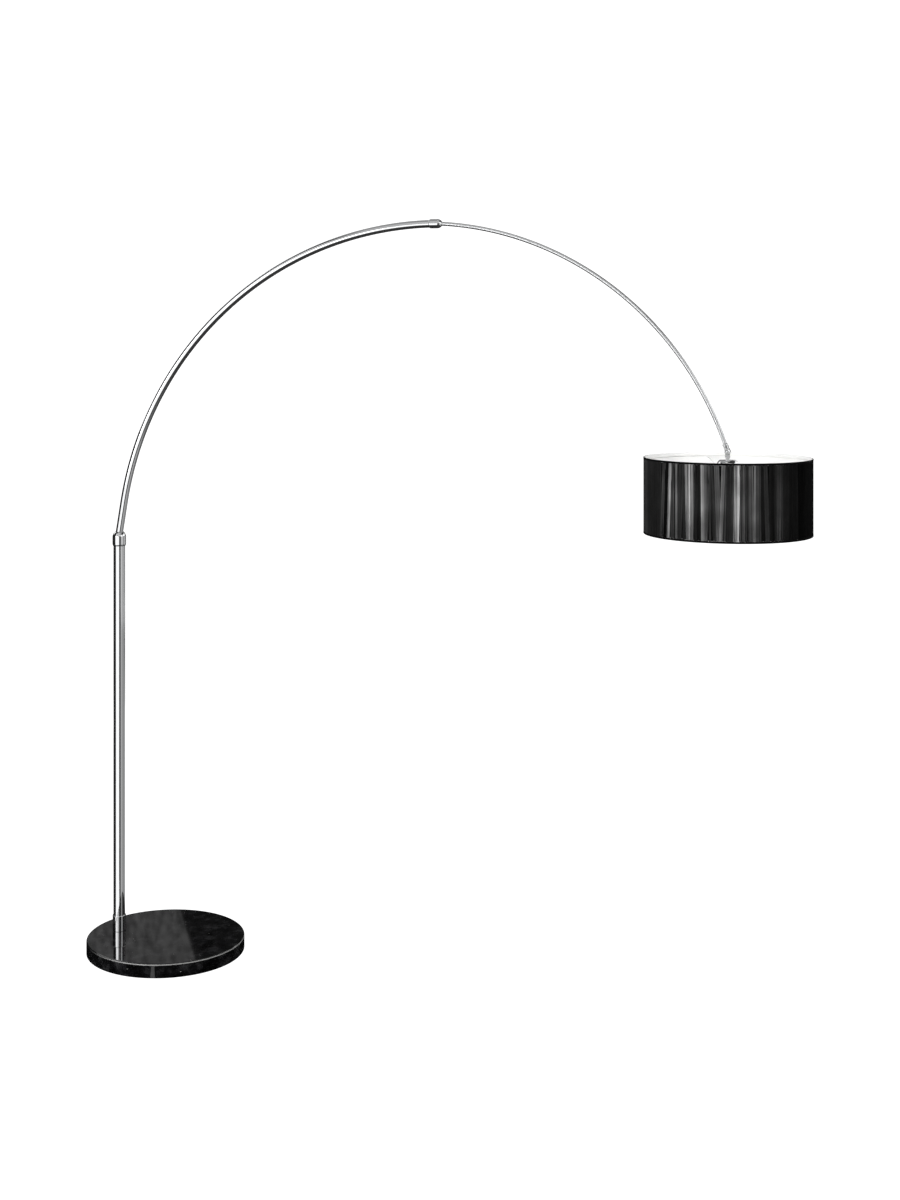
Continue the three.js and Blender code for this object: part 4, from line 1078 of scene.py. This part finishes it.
def flag(name, corners, shade, grazing=None, clouds=None, pale=0.49, power=1.0):
    # a card that only mirrors see, dark or pale by its shade and power, and it lights nothing
    card = bmesh.new()
    card.faces.new([card.verts.new(studio(*c)) for c in corners])
    made = bpy.data.objects.new(name, meshOf(card, name))
    material, tree, shader = newMaterial(name + "Card", {"Roughness": 1.0, "Specular IOR Level": 0.0})
    glow = node(tree, "ShaderNodeEmission", {"Color": linear(shade), "Strength": power})
    if grazing:
        # like a satin floor, its shade when met from above and the grazing tone at a low angle
        facing = node(tree, "ShaderNodeLayerWeight", {"Blend": 0.5}).outputs["Facing"]
        tone = node(tree, "ShaderNodeValToRGB", links={"Fac": facing},
                    stops=[(pale - 0.24, shade), (pale - 0.08, "#707070"), (pale, grazing)])
        tree.links.new(tone.outputs["Color"], glow.inputs["Color"])
    if clouds:
        tone = node(tree, "ShaderNodeValToRGB", links={"Fac": grain(tree, 25, detail=6)},
                    stops=[(0.37, shade), (0.62, clouds)])
        tree.links.new(tone.outputs["Color"], glow.inputs["Color"])
    tree.links.new(glow.outputs[0], tree.nodes["Material Output"].inputs["Surface"])
    made.data.materials.append(material)
    bpy.context.scene.collection.objects.link(made)
    made.visible_camera = made.visible_diffuse = made.visible_shadow = False
    made.visible_transmission = made.visible_volume_scatter = False


def wall(name, start, end, low, high, shade, power=1.0):
    # an upright card between two spots, as right and back of the room's middle
    flag(name, [(*start, low), (*end, low), (*end, high), (*start, high)], shade, power=power)


def ground(name, spots, shade, grazing=None, up=0.0015, pale=0.49, power=1.0):
    # a level card, just clear of the floor unless it is put higher up
    flag(name, [(*spot, up) for spot in spots], shade, grazing, pale=pale, power=power)


def discAt(centre, radius, sides=32):
    return [(centre[0] + radius * math.cos(math.tau * i / sides),
             centre[1] + radius * math.sin(math.tau * i / sides))
            for i in range(sides)]


wall("keyCard", (-3.05, -1.65), (-1.85, -2.81), 1.0, 1.75, "#ffffff", power=5.0)
wall("keyEdgeCard", (-1.85, -2.81), (-0.98, -3.65), 1.12, 1.42, "#ffffff", power=3.0)
wall("cheekFlag", (0.17, -1.13), (0.45, -1.13), 1.12, 1.34, "#8c8c8c")
wall("leftFlag", (-3.3, -1.35), (-3.3, 0.1), 0, 1.7, "#2a2a2a")
wall("leftBackFlag", (-3.3, 0.1), (-1.8, 2.6), 0, 1.7, "#2a2a2a")
wall("cameraFlag", (-0.19, -4.3), (2.46, -4.3), 0, 1.9, "#343434")
wall("cameraHighFlag", (-0.19, -4.3), (2.46, -4.3), 1.9, 3.2, "#8a8a8a")
wall("frontHighCard", (-3.3, -4.3), (-0.4, -4.3), 1.75, 5.0, "#c0c0c0")
flag("slopeCard", [(-3.3, -4.3, 1.9), (-3.3, -1.9, 3.3), (-3.3, -1.9, 5.0), (-3.3, -4.3, 5.0)], "#c0c0c0")
wall("leftUpperFlag", (-3.3, -1.55), (-3.3, 1.4), 1.7, 3.7, "#303030")
wall("rightFrontCard", (2.5, -4.45), (4.2, -0.9), 0, 1.3, "#cbcbcb")
wall("rightFrontFlag", (2.5, -4.45), (2.9, -3.61), 1.3, 2.6, "#3a3a3a")
wall("rightFrontGlowCard", (2.9, -3.61), (3.85, -1.62), 1.3, 2.6, "#ffffff", power=1.3)
wall("rightFrontEdgeFlag", (3.85, -1.62), (4.2, -0.9), 1.3, 2.6, "#3a3a3a")
wall("rightDipCard", (4.2, -0.9), (4.2, 0.65), 0, 1.5, "#8c8c8c")
wall("rightCard", (4.2, 0.65), (4.2, 3.9), 0, 1.5, "#b8b8b8")
wall("rightHighFlag", (4.2, -0.9), (4.2, 3.9), 1.5, 2.3, "#484848")
ground("leftFloorCard", [(-0.65, 0.2), (-3.3, -1.35), (-3.3, -4.6), (-0.19, -4.3)], "#323232", "#ffffff",
       power=1.2)
ground("leftBackFloorFlag", [(-0.65, 0.2), (-0.65, 2.4), (-1.9, 2.4), (-3.3, 0.1), (-3.3, -1.35)], "#2a2a2a")
ground("wedgeFlag", [(-0.65, 0.2), (-0.19, -4.3), (2.46, -4.3)], "#303030")
ground("rightFrontFloorCard", [(-0.65, 0.2), (2.46, -4.3), (4.2, -4.6), (4.2, -0.9)], "#3a3a3a", "#b0b0b0")
ground("rightDipFloorCard", [(-0.65, 0.2), (4.2, -0.9), (4.2, 0.65)], "#3a3a3a", "#7c7c7c")
ground("rightFloorCard", [(-0.65, 0.2), (4.2, 0.65), (4.2, 3.0), (0.35, 3.0)], "#3a3a3a", "#a0a0a0", pale=0.7)
ground("backFloorCard", [(-0.65, 0.2), (0.35, 3.0), (-0.65, 3.0)], "#3a3a3a", "#ffffff", pale=0.7)
ground("baseFlag", discAt((-0.525, 0.165), 0.3), "#0a0a0a", up=0.0025)
ground("floorGap", [(-0.536, -0.033), (-0.524, -0.034), (-0.575, -0.33), (-0.595, -0.33)], "#ffffff",
       up=0.003)
flag("slateCard", [(-2.2, 3.0, 0.6), (-0.946, 3.0, 0.6), (-0.566, 3.0, 1.9), (-2.2, 3.0, 1.9)], "#4c4c4c",
     clouds="#989898")
flag("coalCard", [(-0.946, 3.0, 0.6), (2.6, 3.0, 0.6), (2.6, 3.0, 1.9), (-0.566, 3.0, 1.9)], "#0c0c0c",
     clouds="#303030")
wall("kerbFlag", (-2.2, 3.0), (2.6, 3.0), 0, 0.6, "#202020")
wall("upperFlag", (-1.3, 3.05), (1.2, 3.05), 1.9, 2.8, "#202020")
wall("backHighCard", (-1.6, 3.1), (3.6, 3.1), 2.4, 5.0, "#9c9c9c")
ground("headFlag", [(0.70, -0.70), (1.45, -0.55), (1.45, -0.3), (0.80, -0.45)], "#202020", up=1.9)
ground("gapFlag", [(-0.55, -0.15), (0.51, -4.3), (1.86, -4.3), (-0.45, -0.15)], "#606060", up=3.2)
ground("leftHighFlag", [(-1.0, -0.45), (-1.0, 0.6), (-3.2, 1.1), (-6.0, 1.5), (-6.0, -2.2), (-3.2, -0.9)],
       "#262626", up=3.2)
ground("ceilingCard", [(-3.4, -1.1), (3.6, -1.1), (3.6, 3.1), (-3.4, 3.1)], "#9c9c9c", up=5.0)
ground("ceilingFrontCard", [(-3.4, -4.0), (3.6, -4.0), (3.6, -1.1), (-3.4, -1.1)], "#c4c4c4", up=5.0)
ground("ceilingGlowCard", [(-0.75, -2.2), (0.35, -2.2), (0.35, -1.1), (-0.75, -1.1)], "#ffffff", up=4.98)
ground("ceilingRightFlag", [(1.35, -2.4), (5.5, -2.4), (5.5, 3.1), (2.2, 3.1)], "#404040", up=4.98)

print("studio made")
